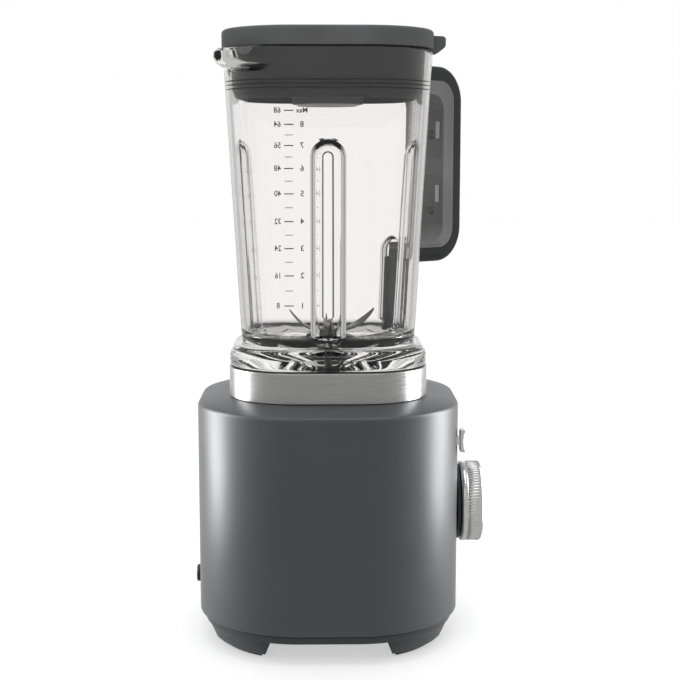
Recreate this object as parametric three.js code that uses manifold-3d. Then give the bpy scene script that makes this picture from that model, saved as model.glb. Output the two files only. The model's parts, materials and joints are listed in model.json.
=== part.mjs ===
// Countertop blender: motor base, clear jug with handle, blade set, lid and ingredient cap.
// Millimetres, +Z up. While it is built, the drive axis stands at x = y = 0 and the floor at z = 0.
// The dial is on the -Y side, the handle on the (+X, -Y) corner and the spout on the (-X, +Y) corner.
// At the end the whole group is moved so that the middle of its footprint is the origin.
import * as THREE from "three";
import { mergeVertices } from "three/addons/utils/BufferGeometryUtils.js";
import Module from "manifold-3d";

const wasm = await Module();
wasm.setup();

// ---- Driving dimensions -------------------------------------------------------------------------

const gap = 0.3; // between pieces that touch
const arcSteps = 4; // straight pieces in each rounded corner
const quarter = Math.PI / 2;

const base = { half: 89, corner: 69.5, wall: 2.5, bottom: 19.5, edge: 165, deck: 169 };
const feet = { gapTop: 38.5, gapBottom: 43, thick: 9, padTop: 2.6, plateBottom: 13.2 };
const cornerScrew = { reach: 76, boss: 5, shank: 1.7, head: 3.5 };
const ring = { half: 67, corner: 44.3, wall: 2.6, top: 189.6 };
const seat = { top: 190.3, padThick: 4, well: 28 };
const deckHole = 34;

const shaftRadius = 4;
const bearing = { outer: 11, thick: 7 };
const stator = { halfX: 42, halfY: 39, low: 75, high: 125, windowX: 33.5, windowY: 32, bore: 22.7 };
const coil = { inner: 24.6, outer: 32.8, halfY: 20, rise: 8 };
const rotorRadius = 22.2;
const upperBearing = 138;
const lowerBearing = 40;
const fan = { low: 25, radius: 36, blades: 9 };
const coupling = { low: 166.5, high: 183, lobes: 6, radius: 11.5, lobe: 1.8 };

const dial = { z: 87.8, radius: 28, front: 18.5, skirt: 7.5, shaft: 3 };
const paddle = { x: 30, z: 137.6, inset: 5, width: 10.6, height: 15.6 };
const pocket = { halfX: 6.8, halfZ: 10.5, floor: 7.5, wall: 1.5 };
const gland = { z: 35.6, hole: 5.6, flange: 5.8, lip: 8, bore: 3, stands: 4.2 };

const jug = { foot: 190.6, shoulder: 198.2, wallFoot: 206, rim: 398.3, wall: 3.8, flange: 66.6 };
const jugAt = { halfLow: 58.2, halfHigh: 69.3, cornerLow: 31.5, cornerHigh: 46 };
const flute = { groove: 8.4, bump: 12.2, low: 207, high: 329 };
const cornerFlute = { groove: 7.2, bump: 10.6, low: 200, high: 262.5 };
const spout = { root: 66, tip: 100.5, nose: 6, halfWidth: 24, low: 384, high: 397.4, wall: 3 };
const handle = {
  outer: 129.5, inner: 108, top: 394, bottom: 252.5, arm: 20, foot: 15, halfWidth: 13, band: 10,
};
const bearingHousing = { nut: 15, body: 12, low: 188.8, seat: 197.3, top: 205.9, bore: 8.3 };
const floorHub = { top: 196.9, bottom: 192.6, hole: 12.3, flat: 20 };

const lid = { half: 69.9, corner: 47, bottom: 399.3, top: 411.4, skin: 2.8, neck: 24.2, neckWall: 2.5 };
const plug = { low: 367, wall: 2.5, sealLow: 371, sealHigh: 380, seals: [373, 375.6, 378.1] };
const cap = { radius: 21.3, wall: 2, flange: 29.4, low: 365.5, top: 413.4, rimLow: 363.2 };

// ---- Solids -------------------------------------------------------------------------------------

// A closed three.js geometry as a solid that can be joined and cut.
function solidFrom(geometry) {
  const bare = geometry.clone();
  bare.deleteAttribute("normal");
  bare.deleteAttribute("uv");
  const merged = mergeVertices(bare, 1e-4);
  const index = merged.index.array;
  const kept = [];
  for (let i = 0; i < index.length; i += 3) {
    const [a, b, c] = [index[i], index[i + 1], index[i + 2]];
    if (a !== b && b !== c && c !== a) kept.push(a, b, c);
  }
  const vertProperties = merged.attributes.position.array;
  const build = (corners) => {
    const triVerts = Uint32Array.from(corners);
    return new wasm.Manifold(new wasm.Mesh({ numProp: 3, vertProperties, triVerts }));
  };
  const solid = build(kept);
  return solid.volume() < 0 ? build(kept.reverse()) : solid;
}

function geometryFrom(solid) {
  const mesh = solid.getMesh();
  const geometry = new THREE.BufferGeometry();
  geometry.setAttribute("position", new THREE.BufferAttribute(mesh.vertProperties, 3));
  geometry.setIndex(new THREE.BufferAttribute(mesh.triVerts, 1));
  geometry.computeVertexNormals();
  return geometry;
}

function cutAll(solid, ...tools) {
  return tools.reduce((left, tool) => left.subtract(tool), solid);
}

function joinAll(...solids) {
  return solids.reduce((whole, piece) => whole.add(piece));
}

function block(x0, x1, y0, y1, z0, z1, turn = 0) {
  const geometry = new THREE.BoxGeometry(x1 - x0, y1 - y0, z1 - z0);
  geometry.translate((x0 + x1) / 2, (y0 + y1) / 2, (z0 + z1) / 2).rotateZ(turn);
  return solidFrom(geometry);
}

// A round solid about the Z axis. Its profile, of [radius, height] pairs, closes on the axis or on itself.
function turned(profile, steps = 20) {
  const points = profile.map(([r, z]) => new THREE.Vector2(r, z));
  if (profile[0][0] > 0) points.push(points[0].clone());
  return solidFrom(new THREE.LatheGeometry(points, steps).rotateX(quarter));
}

function disc(radius, z0, z1, steps = 20) {
  return turned([[0, z0], [radius, z0], [radius, z1], [0, z1]], steps);
}

function sleeve(inner, outer, z0, z1, steps = 20) {
  return turned([[inner, z0], [outer, z0], [outer, z1], [inner, z1]], steps);
}

// A rod between two points, with a ball on its upper end if asked.
function rod(from, to, radius, steps = 12, ball = false) {
  const [a, b] = [new THREE.Vector3(...from), new THREE.Vector3(...to)];
  const along = b.clone().sub(a);
  const up = new THREE.Vector3(0, 1, 0);
  const turn = new THREE.Quaternion().setFromUnitVectors(up, along.clone().normalize());
  const place = (geometry, at) => solidFrom(geometry.applyQuaternion(turn).translate(at.x, at.y, at.z));
  const cylinder = new THREE.CylinderGeometry(radius, radius, along.length(), steps);
  const shaft = place(cylinder, a.clone().add(b).divideScalar(2));
  return ball ? shaft.add(place(new THREE.SphereGeometry(radius, steps, steps / 2), b)) : shaft;
}

function roundedSquare(half, corner) {
  const shape = new THREE.Shape();
  const c = half - corner;
  [[c, c], [-c, c], [-c, -c], [c, -c]].forEach(([x, y], i) => {
    shape.absarc(x, y, corner, i * quarter, (i + 1) * quarter, false);
  });
  return shape;
}

// An extrusion whose outline is moved level by level: each level has a height and a place(x, y) of its own.
function levelled(shape, levels, curveSegments = arcSteps) {
  const steps = levels.length - 1;
  const settings = { depth: steps, steps, bevelEnabled: false, curveSegments };
  const geometry = new THREE.ExtrudeGeometry(shape, settings);
  const position = geometry.attributes.position;
  for (let i = 0; i < position.count; i += 1) {
    const level = levels[Math.round(position.getZ(i))];
    const [x, y] = level.place(position.getX(i), position.getY(i));
    position.setXYZ(i, x, y, level.z);
  }
  return solidFrom(geometry);
}

// A rounded square tower. Sections are [z, half, corner], from the bottom up.
function tower(sections) {
  const [unitHalf, unitCorner] = [100, 50];
  const levels = sections.map(([z, half, corner]) => ({
    z,
    place: (x, y) =>
      [x, y].map((v) => {
        const centre = Math.sign(v) * (unitHalf - unitCorner);
        return Math.sign(v) * (half - corner) + ((v - centre) * corner) / unitCorner;
      }),
  }));
  return levelled(roundedSquare(unitHalf, unitCorner), levels);
}

// Straight walls between two heights.
function post(z0, z1, half, corner) {
  return tower([[z0, half, corner], [z1, half, corner]]);
}

// ---- The scene graph ----------------------------------------------------------------------------

const blender = new THREE.Group();
blender.name = "countertop_blender";

const finishes = {
  slateGrey: { color: 0x55585d, roughness: 0.5, metalness: 0.1 },
  darkPlastic: { color: 0x3b3c3e, roughness: 0.5, metalness: 0 },
  blackPlastic: { color: 0x1c1d1f, roughness: 0.5, metalness: 0 },
  rubber: { color: 0x171718, roughness: 0.8, metalness: 0 },
  satinSilver: { color: 0xb9babc, roughness: 0.3, metalness: 1 },
  chrome: { color: 0xd8d9db, roughness: 0.12, metalness: 1 },
  steel: { color: 0xa2a4a8, roughness: 0.25, metalness: 1 },
  castAluminium: { color: 0x9a9c9e, roughness: 0.5, metalness: 0.9 },
  laminations: { color: 0x5e6063, roughness: 0.5, metalness: 0.8 },
  copper: { color: 0xb4693a, roughness: 0.35, metalness: 0.9 },
  carbon: { color: 0x242426, roughness: 0.6, metalness: 0.2 },
  circuitGreen: { color: 0x1f5a38, roughness: 0.5, metalness: 0 },
  clear: { color: 0xe9ecee, roughness: 0.05, metalness: 0, transparent: true, opacity: 0.35 },
};

function addPart(parent, name, solid, finish) {
  const mesh = new THREE.Mesh(geometryFrom(solid), new THREE.MeshStandardMaterial(finishes[finish]));
  mesh.name = name;
  parent.add(mesh);
  return mesh;
}

function addGroup(parent, x = 0, y = 0, z = 0) {
  const group = new THREE.Group();
  group.position.set(x, y, z);
  parent.add(group);
  return group;
}

const corners = [[1, 1], [-1, 1], [-1, -1], [1, -1]];
const diagonal = Math.SQRT1_2;

// ---- Base casing --------------------------------------------------------------------------------

function paddlePocket(x) {
  const [front, floor] = [-base.half, -base.half + pocket.floor];
  const w = pocket.wall;
  const [hx, hz] = [pocket.halfX, pocket.halfZ];
  return {
    walls: block(x - hx - w, x + hx + w, front + 1, floor + w, paddle.z - hz - w, paddle.z + hz + w),
    hollow: block(x - hx, x + hx, front - 1, floor, paddle.z - hz, paddle.z + hz),
    slot: block(x - 2.7, x + 2.7, floor - 1, floor + w + 1, paddle.z - 5.5, paddle.z + 5.5),
  };
}

function baseHousing() {
  const { half, corner, wall, bottom, edge, deck } = base;
  const outer = tower([
    [bottom, half - 0.8, corner - 0.8],
    [bottom + 0.8, half, corner],
    [edge - 2.6, half, corner],
    [edge - 0.8, half - 0.8, corner - 0.8],
    [edge, half - 2.6, corner - 2.6],
    [deck, ring.half + 1, ring.corner + 1],
  ]);
  const inner = tower([
    [bottom - 1, half - wall, corner - wall],
    [edge - wall - 1, half - wall, corner - wall],
    [deck - wall, ring.half - 1, ring.corner - 1],
  ]);
  let shell = outer.subtract(inner);
  for (const [sx, sy] of corners) {
    const x = sx * cornerScrew.reach * diagonal;
    const y = sy * cornerScrew.reach * diagonal;
    const boss = disc(cornerScrew.boss, bottom + 0.5, bottom + 30, 16).translate([x, y, 0]);
    const turn = Math.atan2(sy, sx);
    const rib = block(cornerScrew.reach + 3, 95.5, -1.2, 1.2, bottom + 0.5, bottom + 26, turn);
    const bore = disc(cornerScrew.shank + gap, bottom, bottom + 16, 12).translate([x, y, 0]);
    shell = shell.add(boss).add(rib).subtract(bore);
  }
  for (const side of [-1, 1]) {
    const made = paddlePocket(side * paddle.x);
    shell = shell.add(made.walls).subtract(made.hollow).subtract(made.slot);
  }
  return cutAll(
    shell,
    disc(deckHole, deck - 8, deck + 1),
    rod([0, -half - 5, dial.z], [0, -half + 5, dial.z], dial.shaft + 1, 16),
    rod([0, half - 5, gland.z], [0, half + 5, gland.z], gland.hole, 20),
  );
}

// The two crossing spaces that part the skirt into four feet.
function feetGaps(top, spare = 0) {
  const shape = new THREE.Shape();
  const [a, b] = [feet.gapTop + spare, feet.gapBottom + spare];
  shape.moveTo(-a, top);
  [[-b, -1], [b, -1], [a, top]].forEach(([x, z]) => shape.lineTo(x, z));
  const length = 4 * base.half;
  const geometry = new THREE.ExtrudeGeometry(shape, { depth: length, bevelEnabled: false });
  geometry.translate(0, 0, -length / 2).rotateX(quarter);
  return solidFrom(geometry).add(solidFrom(geometry.rotateZ(quarter)));
}

function skirt(z0, z1, drop = 0) {
  const lean = (z) => 79.2 + (z / feet.plateBottom) * 5;
  const section = (z, inset) => [z, lean(z) - drop - inset, lean(z) - 19.5 - drop - inset];
  const outer = tower([section(z0, 0), section(z1, 0)]);
  return outer.subtract(tower([section(z0 - 1, feet.thick), section(z1 + 1, feet.thick)]));
}

function bottomCover() {
  const { plateBottom } = feet;
  const plate = tower([
    [plateBottom, 85.2, 65.7], [base.bottom - 1.5, 86.6, 67.1], [base.bottom - gap, 86.6, 67.1],
  ]);
  let cover = skirt(feet.padTop + gap, plateBottom + 1).subtract(feetGaps(plateBottom)).add(plate);
  const vents = 12;
  for (let i = 0; i < vents; i += 1) {
    cover = cover.subtract(block(18, 32, -1.8, 1.8, 10, 22, (i * 2 * Math.PI) / vents));
  }
  for (const [sx, sy] of corners) {
    const at = [sx * cornerScrew.reach * diagonal, sy * cornerScrew.reach * diagonal, 0];
    cover = cover.subtract(disc(cornerScrew.shank + gap, 10, 22, 12).translate(at));
  }
  return cover;
}

const baseGroup = addGroup(blender);
addPart(baseGroup, "base_housing", baseHousing(), "slateGrey");
addPart(baseGroup, "bottom_cover", bottomCover(), "slateGrey");

const pads = skirt(0, feet.padTop, 0.4).subtract(feetGaps(feet.padTop + 1, 0.5));
corners.forEach(([sx, sy], i) => {
  const span = (s) => (s > 0 ? [1, 100] : [-100, -1]);
  const quadrant = block(...span(sx), ...span(sy), -1, feet.padTop + 1);
  addPart(baseGroup, `foot_pad_${i + 1}`, pads.intersect(quadrant), "rubber");
  const reach = cornerScrew.reach * diagonal;
  const [low, high] = [feet.plateBottom - gap - 2.2, base.bottom + 13];
  const screw = turned([
    [0, low], [cornerScrew.head, low], [cornerScrew.head, feet.plateBottom - gap],
    [cornerScrew.shank, feet.plateBottom - gap], [cornerScrew.shank, high - 1.5], [0, high],
  ], 12);
  addPart(addGroup(baseGroup, sx * reach, sy * reach, 0), `bottom_screw_${i + 1}`, screw, "steel");
});

const collar = tower([
  [base.deck + gap, ring.half, ring.corner],
  [ring.top - 1, ring.half, ring.corner],
  [ring.top, ring.half - 0.8, ring.corner - 0.8],
]).subtract(post(base.deck, ring.top + 1, ring.half - ring.wall, ring.corner - ring.wall));
addPart(baseGroup, "collar_ring", collar, "satinSilver");

const seatHalf = ring.half - ring.wall - gap;
const seatCorner = ring.corner - ring.wall - gap;
const padLow = seat.top - seat.padThick;
const wellCut = disc(seat.well, base.deck - 1, seat.top + 1);
const jugSeat = post(base.deck + gap, padLow - gap, seatHalf, seatCorner).subtract(wellCut);
addPart(baseGroup, "jug_seat", jugSeat, "blackPlastic");
addPart(baseGroup, "seat_pad", post(padLow, seat.top, seatHalf, seatCorner).subtract(wellCut), "rubber");

// ---- Motor --------------------------------------------------------------------------------------

function statorStack() {
  const { halfX, halfY, low, high, windowX, windowY, bore } = stator;
  const frame = block(-halfX, halfX, -halfY, halfY, low, high);
  const pole = 12;
  const hollow = block(-windowX, windowX, -windowY, windowY, low - 1, high + 1);
  const poles = block(-halfX + 2, halfX - 2, -pole, pole, low, high);
  return frame.subtract(hollow).add(poles).subtract(disc(bore, low - 1, high + 1, 24));
}

function fieldCoil(side) {
  const { low, high } = stator;
  const [x0, x1] = side > 0 ? [coil.inner, coil.outer] : [-coil.outer, -coil.inner];
  const ringBlock = block(x0, x1, -coil.halfY, coil.halfY, low - coil.rise, high + coil.rise);
  return ringBlock.subtract(block(x0 - 1, x1 + 1, -12 - gap, 12 + gap, low - gap, high + gap));
}

// A bearing bracket: a plate with a bearing cup and four legs that reach to the stator.
function motorBracket(bearingLow, plateLow, legLow, legHigh) {
  const cupWall = 3;
  const [cupLow, cupHigh] = [Math.min(bearingLow, plateLow) - 1, bearingLow + bearing.thick + 1];
  const plate = block(-stator.halfX, stator.halfX, -10, 10, plateLow, plateLow + 4).add(
    block(-10, 10, -stator.halfY, stator.halfY, plateLow, plateLow + 4),
  );
  const rim = post(plateLow, plateLow + 4, stator.halfX, 12).subtract(
    post(plateLow - 1, plateLow + 5, stator.halfX - 7, 8),
  );
  const cup = disc(bearing.outer + gap + cupWall, cupLow, cupHigh, 24);
  const leg = block(-4, 4, -2, 2, legLow, legHigh);
  const legs = corners.map(([sx, sy]) => leg.translate([sx * 33, sy * 36.5, 0]));
  return joinAll(plate, rim, cup, ...legs).subtract(disc(bearing.outer + gap, cupLow - 1, cupHigh + 1, 24));
}

addPart(baseGroup, "motor_stator", statorStack(), "laminations");
addPart(baseGroup, "field_coil_left", fieldCoil(-1), "copper");
addPart(baseGroup, "field_coil_right", fieldCoil(1), "copper");
const upperPlate = stator.high + coil.rise + 2;
const upperBracket = motorBracket(upperBearing, upperPlate, stator.high + gap, upperPlate + 1);
addPart(baseGroup, "upper_bracket", upperBracket, "castAluminium");
const lowerBracket = motorBracket(lowerBearing, lowerBearing + 4, lowerBearing + 7, stator.low - gap);
addPart(baseGroup, "lower_bracket", lowerBracket, "castAluminium");
for (const [name, z] of [["upper_bearing", upperBearing], ["lower_bearing", lowerBearing]]) {
  addPart(baseGroup, name, sleeve(shaftRadius + gap, bearing.outer, z, z + bearing.thick, 24), "steel");
}
for (const [name, side] of [["carbon_brush_left", -1], ["carbon_brush_right", 1]]) {
  const [x0, x1] = side > 0 ? [12.4, 30] : [-30, -12.4];
  addPart(baseGroup, name, block(x0, x1, -4, 4, 53, 61), "carbon");
}
const [cushionLow, cushionHigh] = [upperPlate + 4 + gap, base.deck - base.wall - 6];
const cushion = sleeve(bearing.outer + 5, bearing.outer + 12, cushionLow, cushionHigh, 24);
addPart(baseGroup, "motor_cushion", cushion, "rubber");

const driveGroup = addGroup(blender);
const armature = turned([
  [shaftRadius + gap, 50], [12, 50], [12, 64], [8, 64], [8, 67], [18, 69],
  [rotorRadius - 2, 76], [rotorRadius, 76], [rotorRadius, 124], [rotorRadius - 2, 124],
  [18, 131], [shaftRadius + gap, 132.5],
], 24);
addPart(driveGroup, "motor_armature", armature, "laminations");
addPart(driveGroup, "motor_shaft", disc(shaftRadius, fan.low - 1, coupling.high - 3, 20), "steel");

function coolingFan() {
  let wheel = sleeve(shaftRadius + gap, 10, fan.low, fan.low + 12, 24).add(
    sleeve(shaftRadius + gap, fan.radius, fan.low + 9.5, fan.low + 11.5),
  );
  for (let i = 0; i < fan.blades; i += 1) {
    const turn = (i * 2 * Math.PI) / fan.blades;
    wheel = wheel.add(block(9, fan.radius - 0.5, -0.9, 0.9, fan.low, fan.low + 10, turn));
  }
  return wheel;
}
addPart(driveGroup, "cooling_fan", coolingFan(), "blackPlastic");

// A star section: round, with evenly spaced lobes.
function star(radius, lobe, z0, z1) {
  const shape = new THREE.Shape();
  const points = coupling.lobes * 5;
  for (let i = 0; i < points; i += 1) {
    const a = (i * 2 * Math.PI) / points;
    const r = radius + lobe * Math.cos(coupling.lobes * a);
    if (i) shape.lineTo(r * Math.cos(a), r * Math.sin(a));
    else shape.moveTo(r, 0);
  }
  return levelled(shape, [{ z: z0, place: (x, y) => [x, y] }, { z: z1, place: (x, y) => [x, y] }]);
}

const driveCoupling = disc(15.5, coupling.low, coupling.low + 5, 32)
  .add(star(coupling.radius, coupling.lobe, coupling.low + 4, coupling.high))
  .subtract(disc(shaftRadius + gap, coupling.low - 1, coupling.high - 2.5, 20));
addPart(driveGroup, "drive_coupling", driveCoupling, "castAluminium");

// ---- Controls -----------------------------------------------------------------------------------

// The dial's own frame: its +Z points out of the front of the base.
function dialFrame(parent) {
  const group = addGroup(parent, 0, -base.half, dial.z);
  group.rotation.x = quarter;
  return group;
}

const dialFixed = dialFrame(baseGroup);
const bezel = sleeve(dial.shaft + 1, dial.radius - 1.5, gap, 3, 24);
addPart(dialFixed, "dial_bezel", bezel, "blackPlastic");
const switchHousing = block(-13, 13, -13, 13, -22, -7).subtract(disc(dial.shaft + gap, -18, -6, 16));
addPart(dialFixed, "rotary_switch", switchHousing, "blackPlastic");

const dialGroup = dialFrame(blender);
const knob = turned([
  [0, dial.front], [dial.radius - 4, dial.front], [dial.radius - 1, dial.front - 0.8],
  [dial.radius, dial.front - 2.2],
  [dial.radius, dial.skirt], [dial.radius + 0.2, dial.skirt - 0.4], [dial.radius + 0.2, 3.4],
  [dial.shaft + gap, 3.4], [dial.shaft + gap, 12.6], [0, 12.6],
], 32).subtract(block(-dial.radius + 0.9, -dial.radius + 8, -1, 1, dial.front - 1.2, dial.front + 1));
addPart(dialGroup, "dial_knob", knob, "chrome");
addPart(dialGroup, "dial_shaft", disc(dial.shaft, -17, 12.2, 16), "steel");
const pointer = block(-dial.radius + 1.2, -dial.radius + 7.7, -0.7, 0.7, dial.front - 0.9, dial.front + 0.1);
addPart(dialGroup, "dial_pointer", pointer, "blackPlastic");

const boardFace = -base.half + 22 + gap;
const board = block(-46, 46, boardFace, boardFace + 1.6, 62, 152)
  .subtract(block(-20, 20, boardFace - 1, boardFace + 3, 118, 126));
addPart(baseGroup, "control_board", board, "circuitGreen");

for (const [name, side] of [["start", -1], ["pulse", 1]]) {
  const pivot = addGroup(blender, side * paddle.x, -base.half + paddle.inset, paddle.z);
  const [hw, hh] = [paddle.width / 2, paddle.height / 2];
  const face = block(-hw, hw, -8.2, -5.9, -hh, hh).add(block(-hw, hw, -9.2, -5.9, -hh + 3, hh - 3));
  const stem = block(-2.2, 2.2, -6.5, 7.5, -1.8, 1.8).add(rod([-6.4, 0, 0], [6.4, 0, 0], 1.8, 12));
  addPart(pivot, `${name}_paddle`, face.add(stem), "chrome");
  const x = side * paddle.x;
  const [y0, y1] = [-base.half + 14.2, boardFace - gap];
  const microswitch = block(x - 6, x + 6, y0, y1, paddle.z - 5, paddle.z + 5);
  addPart(baseGroup, `${name}_microswitch`, microswitch, "blackPlastic");
}

// The cord gland's own frame: its +Z points out of the back of the base.
const glandFrame = addGroup(baseGroup, 0, base.half, gland.z);
glandFrame.rotation.x = -quarter;
const glandSolid = turned([
  [gland.bore, -6], [gland.lip, -6], [gland.lip, -base.wall - gap],
  [gland.hole - gap, -base.wall - gap], [gland.hole - gap, gap], [gland.flange, gap],
  [gland.flange, gland.stands - 0.8], [gland.flange - 0.8, gland.stands], [gland.bore, gland.stands],
], 24);
addPart(glandFrame, "cord_gland", glandSolid, "rubber");

// ---- Jug ----------------------------------------------------------------------------------------

function jugHalf(z) {
  const t = (z - jug.wallFoot) / (jug.rim - jug.wallFoot);
  return jugAt.halfLow + t * (jugAt.halfHigh - jugAt.halfLow);
}

function jugCorner(z) {
  const t = (z - jug.wallFoot) / (jug.rim - jug.wallFoot);
  return jugAt.cornerLow + t * (jugAt.cornerHigh - jugAt.cornerLow);
}

// Distance from the drive axis to the outside of the jug on a corner's diagonal.
function cornerReach(z) {
  return jugHalf(z) * Math.SQRT2 - jugCorner(z) * (Math.SQRT2 - 1);
}

function fluteLine(radius, low, high, turn, ball = true) {
  return rod([jugHalf(low), 0, low], [jugHalf(high), 0, high], radius, 12, ball).rotate([0, 0, turn]);
}

function cornerFluteLine(radius, low, ball = true) {
  const { high } = cornerFlute;
  const [foot, top] = [[cornerReach(low), 0, low], [cornerReach(high), 0, high]];
  return rod(foot, top, radius, 12, ball).rotate([0, 0, -45]);
}

// The spout's plan: two sides that meet in a round nose, out along +X.
function spoutShape(root, halfWidth, tip, nose) {
  const shape = new THREE.Shape();
  shape.moveTo(root, -halfWidth);
  shape.lineTo(tip - nose + nose * Math.cos(1.1), -nose * Math.sin(1.1));
  shape.absarc(tip - nose, 0, nose, -1.1, 1.1, false);
  shape.lineTo(root, halfWidth);
  return shape;
}

function spoutSolid(shape, root, levels) {
  const placed = levels.map(([z, k]) => ({ z, place: (x, y) => [root + (x - root) * k, y * k] }));
  return levelled(shape, placed).rotate([0, 0, 135]);
}

function jugBody() {
  const { foot, shoulder, wallFoot, rim, wall, flange } = jug;
  const outer = tower([
    [foot, flange - 0.6, 43.4],
    [foot + 0.6, flange, 44],
    [shoulder, flange, 44],
    [shoulder + 2.4, flange - 1.2, 42.8],
    [shoulder + 4.2, 62, 37.5],
    [shoulder + 5.4, 59.4, 33],
    [wallFoot, jugAt.halfLow, jugAt.cornerLow],
    [rim, jugAt.halfHigh, jugAt.cornerHigh],
  ]);
  let hollow = tower([
    [floorHub.top, floorHub.flat, floorHub.flat - 0.1],
    [floorHub.top + 8, 48, 24],
    [floorHub.top + 11, 53, 27],
    [floorHub.top + 14.5, jugHalf(211.4) - wall, jugCorner(211.4) - wall],
    [rim + 1, jugHalf(rim + 1) - wall, jugCorner(rim + 1) - wall],
  ]);
  const grooves = [];
  for (const turn of [0, 90, 180, 270]) {
    hollow = hollow.subtract(fluteLine(flute.bump, flute.low - 12, flute.high, turn));
    grooves.push(fluteLine(flute.groove, flute.low, flute.high, turn));
  }
  hollow = hollow.subtract(cornerFluteLine(cornerFlute.bump, cornerFlute.low - 10));
  grooves.push(cornerFluteLine(cornerFlute.groove, cornerFlute.low));

  const { root, tip, nose, halfWidth, low, high } = spout;
  const beak = spoutSolid(spoutShape(root, halfWidth, tip, nose), root, [
    [low, 0.55], [low + 2.5, 0.84], [low + 6.5, 0.97], [high, 1],
  ]);
  const channelRoot = root - 8;
  const channelShape = spoutShape(channelRoot, halfWidth - 2, tip - spout.wall, nose - 2.6);
  const channel = spoutSolid(channelShape, channelRoot, [
    [low + spout.wall, 0.6], [low + 5.5, 0.85], [low + 9, 0.97], [rim + 1, 1],
  ]);
  const under = post(foot - 1, floorHub.bottom, 58, 24);
  return cutAll(outer.add(beak), hollow, channel, under, disc(floorHub.hole, foot, 210), ...grooves);
}

const jugGroup = addGroup(blender);
addPart(jugGroup, "jug_body", jugBody(), "clear");

const housingProfile = [
  [bearingHousing.body, bearingHousing.low], [bearingHousing.body, bearingHousing.seat],
  [bearingHousing.nut, bearingHousing.seat], [bearingHousing.nut, bearingHousing.top - 1],
  [bearingHousing.nut - 1, bearingHousing.top], [5, bearingHousing.top], [5, 204], [bearingHousing.bore, 204],
  [bearingHousing.bore, bearingHousing.low],
];
addPart(jugGroup, "bearing_housing", turned(housingProfile), "steel");
addPart(jugGroup, "lower_spindle_bearing", sleeve(shaftRadius + gap, 8, 189.3, 193.8, 20), "steel");
addPart(jugGroup, "upper_spindle_bearing", sleeve(shaftRadius + gap, 8, 195.5, 200, 20), "steel");
addPart(jugGroup, "shaft_seal", sleeve(shaftRadius + gap, 8, 200.4, 203.6, 20), "rubber");
const lockRing = disc(22, 188.6, floorHub.bottom - gap, 6)
  .subtract(disc(bearingHousing.body + gap, 188, 193));
addPart(jugGroup, "retaining_nut", lockRing, "castAluminium");

// The handle's own frame: its +X points out along the corner's diagonal.
const handleFrame = addGroup(jugGroup);
handleFrame.rotation.z = -Math.PI / 4;

// A rounded rectangle in the plane of the handle; x is the reach from the drive axis and y is the height.
function roundedBlock(x0, x1, z0, z1, radius) {
  const shape = new THREE.Shape();
  shape.moveTo(x0, z0);
  shape.lineTo(x1 - radius, z0);
  shape.absarc(x1 - radius, z0 + radius, radius, -quarter, 0, false);
  shape.absarc(x1 - radius, z1 - radius, radius, 0, quarter, false);
  shape.lineTo(x0, z1);
  return shape;
}

function handleSlab(shape, halfWidth, bevel) {
  const depth = 2 * (halfWidth - bevel);
  const geometry = new THREE.ExtrudeGeometry(shape, {
    depth, curveSegments: 6, bevelEnabled: bevel > 0, bevelSegments: 2, bevelSize: bevel,
    bevelThickness: bevel, bevelOffset: -bevel,
  });
  return solidFrom(geometry.translate(0, 0, -depth / 2).rotateX(quarter));
}

function handleSolids() {
  const { outer, inner, top, bottom, arm, foot, halfWidth, band } = handle;
  const full = handleSlab(roundedBlock(55, outer, bottom, top, 25), halfWidth, 3.2);
  const finger = handleSlab(roundedBlock(50, inner, bottom + foot, top - arm, 12), halfWidth + 4, 0);
  const jugClear = tower([
    [jug.wallFoot, jugHalf(jug.wallFoot) + gap, jugCorner(jug.wallFoot) + gap],
    [jug.rim, jugHalf(jug.rim) + gap, jugCorner(jug.rim) + gap],
  ]).rotate([0, 0, 45]);
  const whole = full.subtract(finger).subtract(jugClear);
  const core = handleSlab(roundedBlock(40, outer - band, bottom + band, top - band, 15), halfWidth + 4, 0);
  const coreIn = handleSlab(
    roundedBlock(40, outer - band - gap, bottom + band + gap, top - band - gap, 15 - gap), halfWidth + 4, 0,
  );
  return { grip: whole.subtract(core), cover: whole.intersect(coreIn) };
}

const handleParts = handleSolids();
const screwHeights = [345, 290];
const screwBores = screwHeights.map((z) => rod([100, 0, z], [handle.inner + 5, 0, z], 3.6, 16));
addPart(handleFrame, "handle_grip", handleParts.grip, "darkPlastic");
addPart(handleFrame, "handle_cover", cutAll(handleParts.cover, ...screwBores), "darkPlastic");
screwHeights.forEach((z, i) => {
  const screw = rod([handle.inner + 1, 0, z], [handle.inner + 4.7, 0, z], 3.2, 16);
  addPart(handleFrame, `handle_screw_${i + 1}`, screw, "steel");
});

const spineLow = cornerFlute.low + 0.8;
const spineHigh = 257;
const spineEnds = [spineLow, spineHigh].map((z) => [cornerReach(z), 0, z]);
const spineCut = handleSlab(roundedBlock(40, 140, handle.bottom - gap, 400, 5), 20, 0);
const spine = rod(...spineEnds, cornerFlute.groove - 0.5, 20).subtract(spineCut);
addPart(handleFrame, "handle_spine", spine, "darkPlastic");

// ---- Blade set ----------------------------------------------------------------------------------

// One blade arm out along +X: a strip that narrows to its tip and follows height(t), t from 0 to 1.
function bladeArm(reach, width, tipWidth, thick, z, height, turn) {
  const geometry = new THREE.BoxGeometry(1, 1, 1, 8, 1, 1);
  const position = geometry.attributes.position;
  for (let i = 0; i < position.count; i += 1) {
    const t = position.getX(i) + 0.5;
    const half = (width + (tipWidth - width) * t * t) * position.getY(i);
    const lift = height(t) + z + thick * (position.getZ(i) + 0.5);
    position.setXYZ(i, 2 + (reach - 2) * t, half, lift);
  }
  return solidFrom(geometry.rotateZ(THREE.MathUtils.degToRad(turn)));
}

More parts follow.
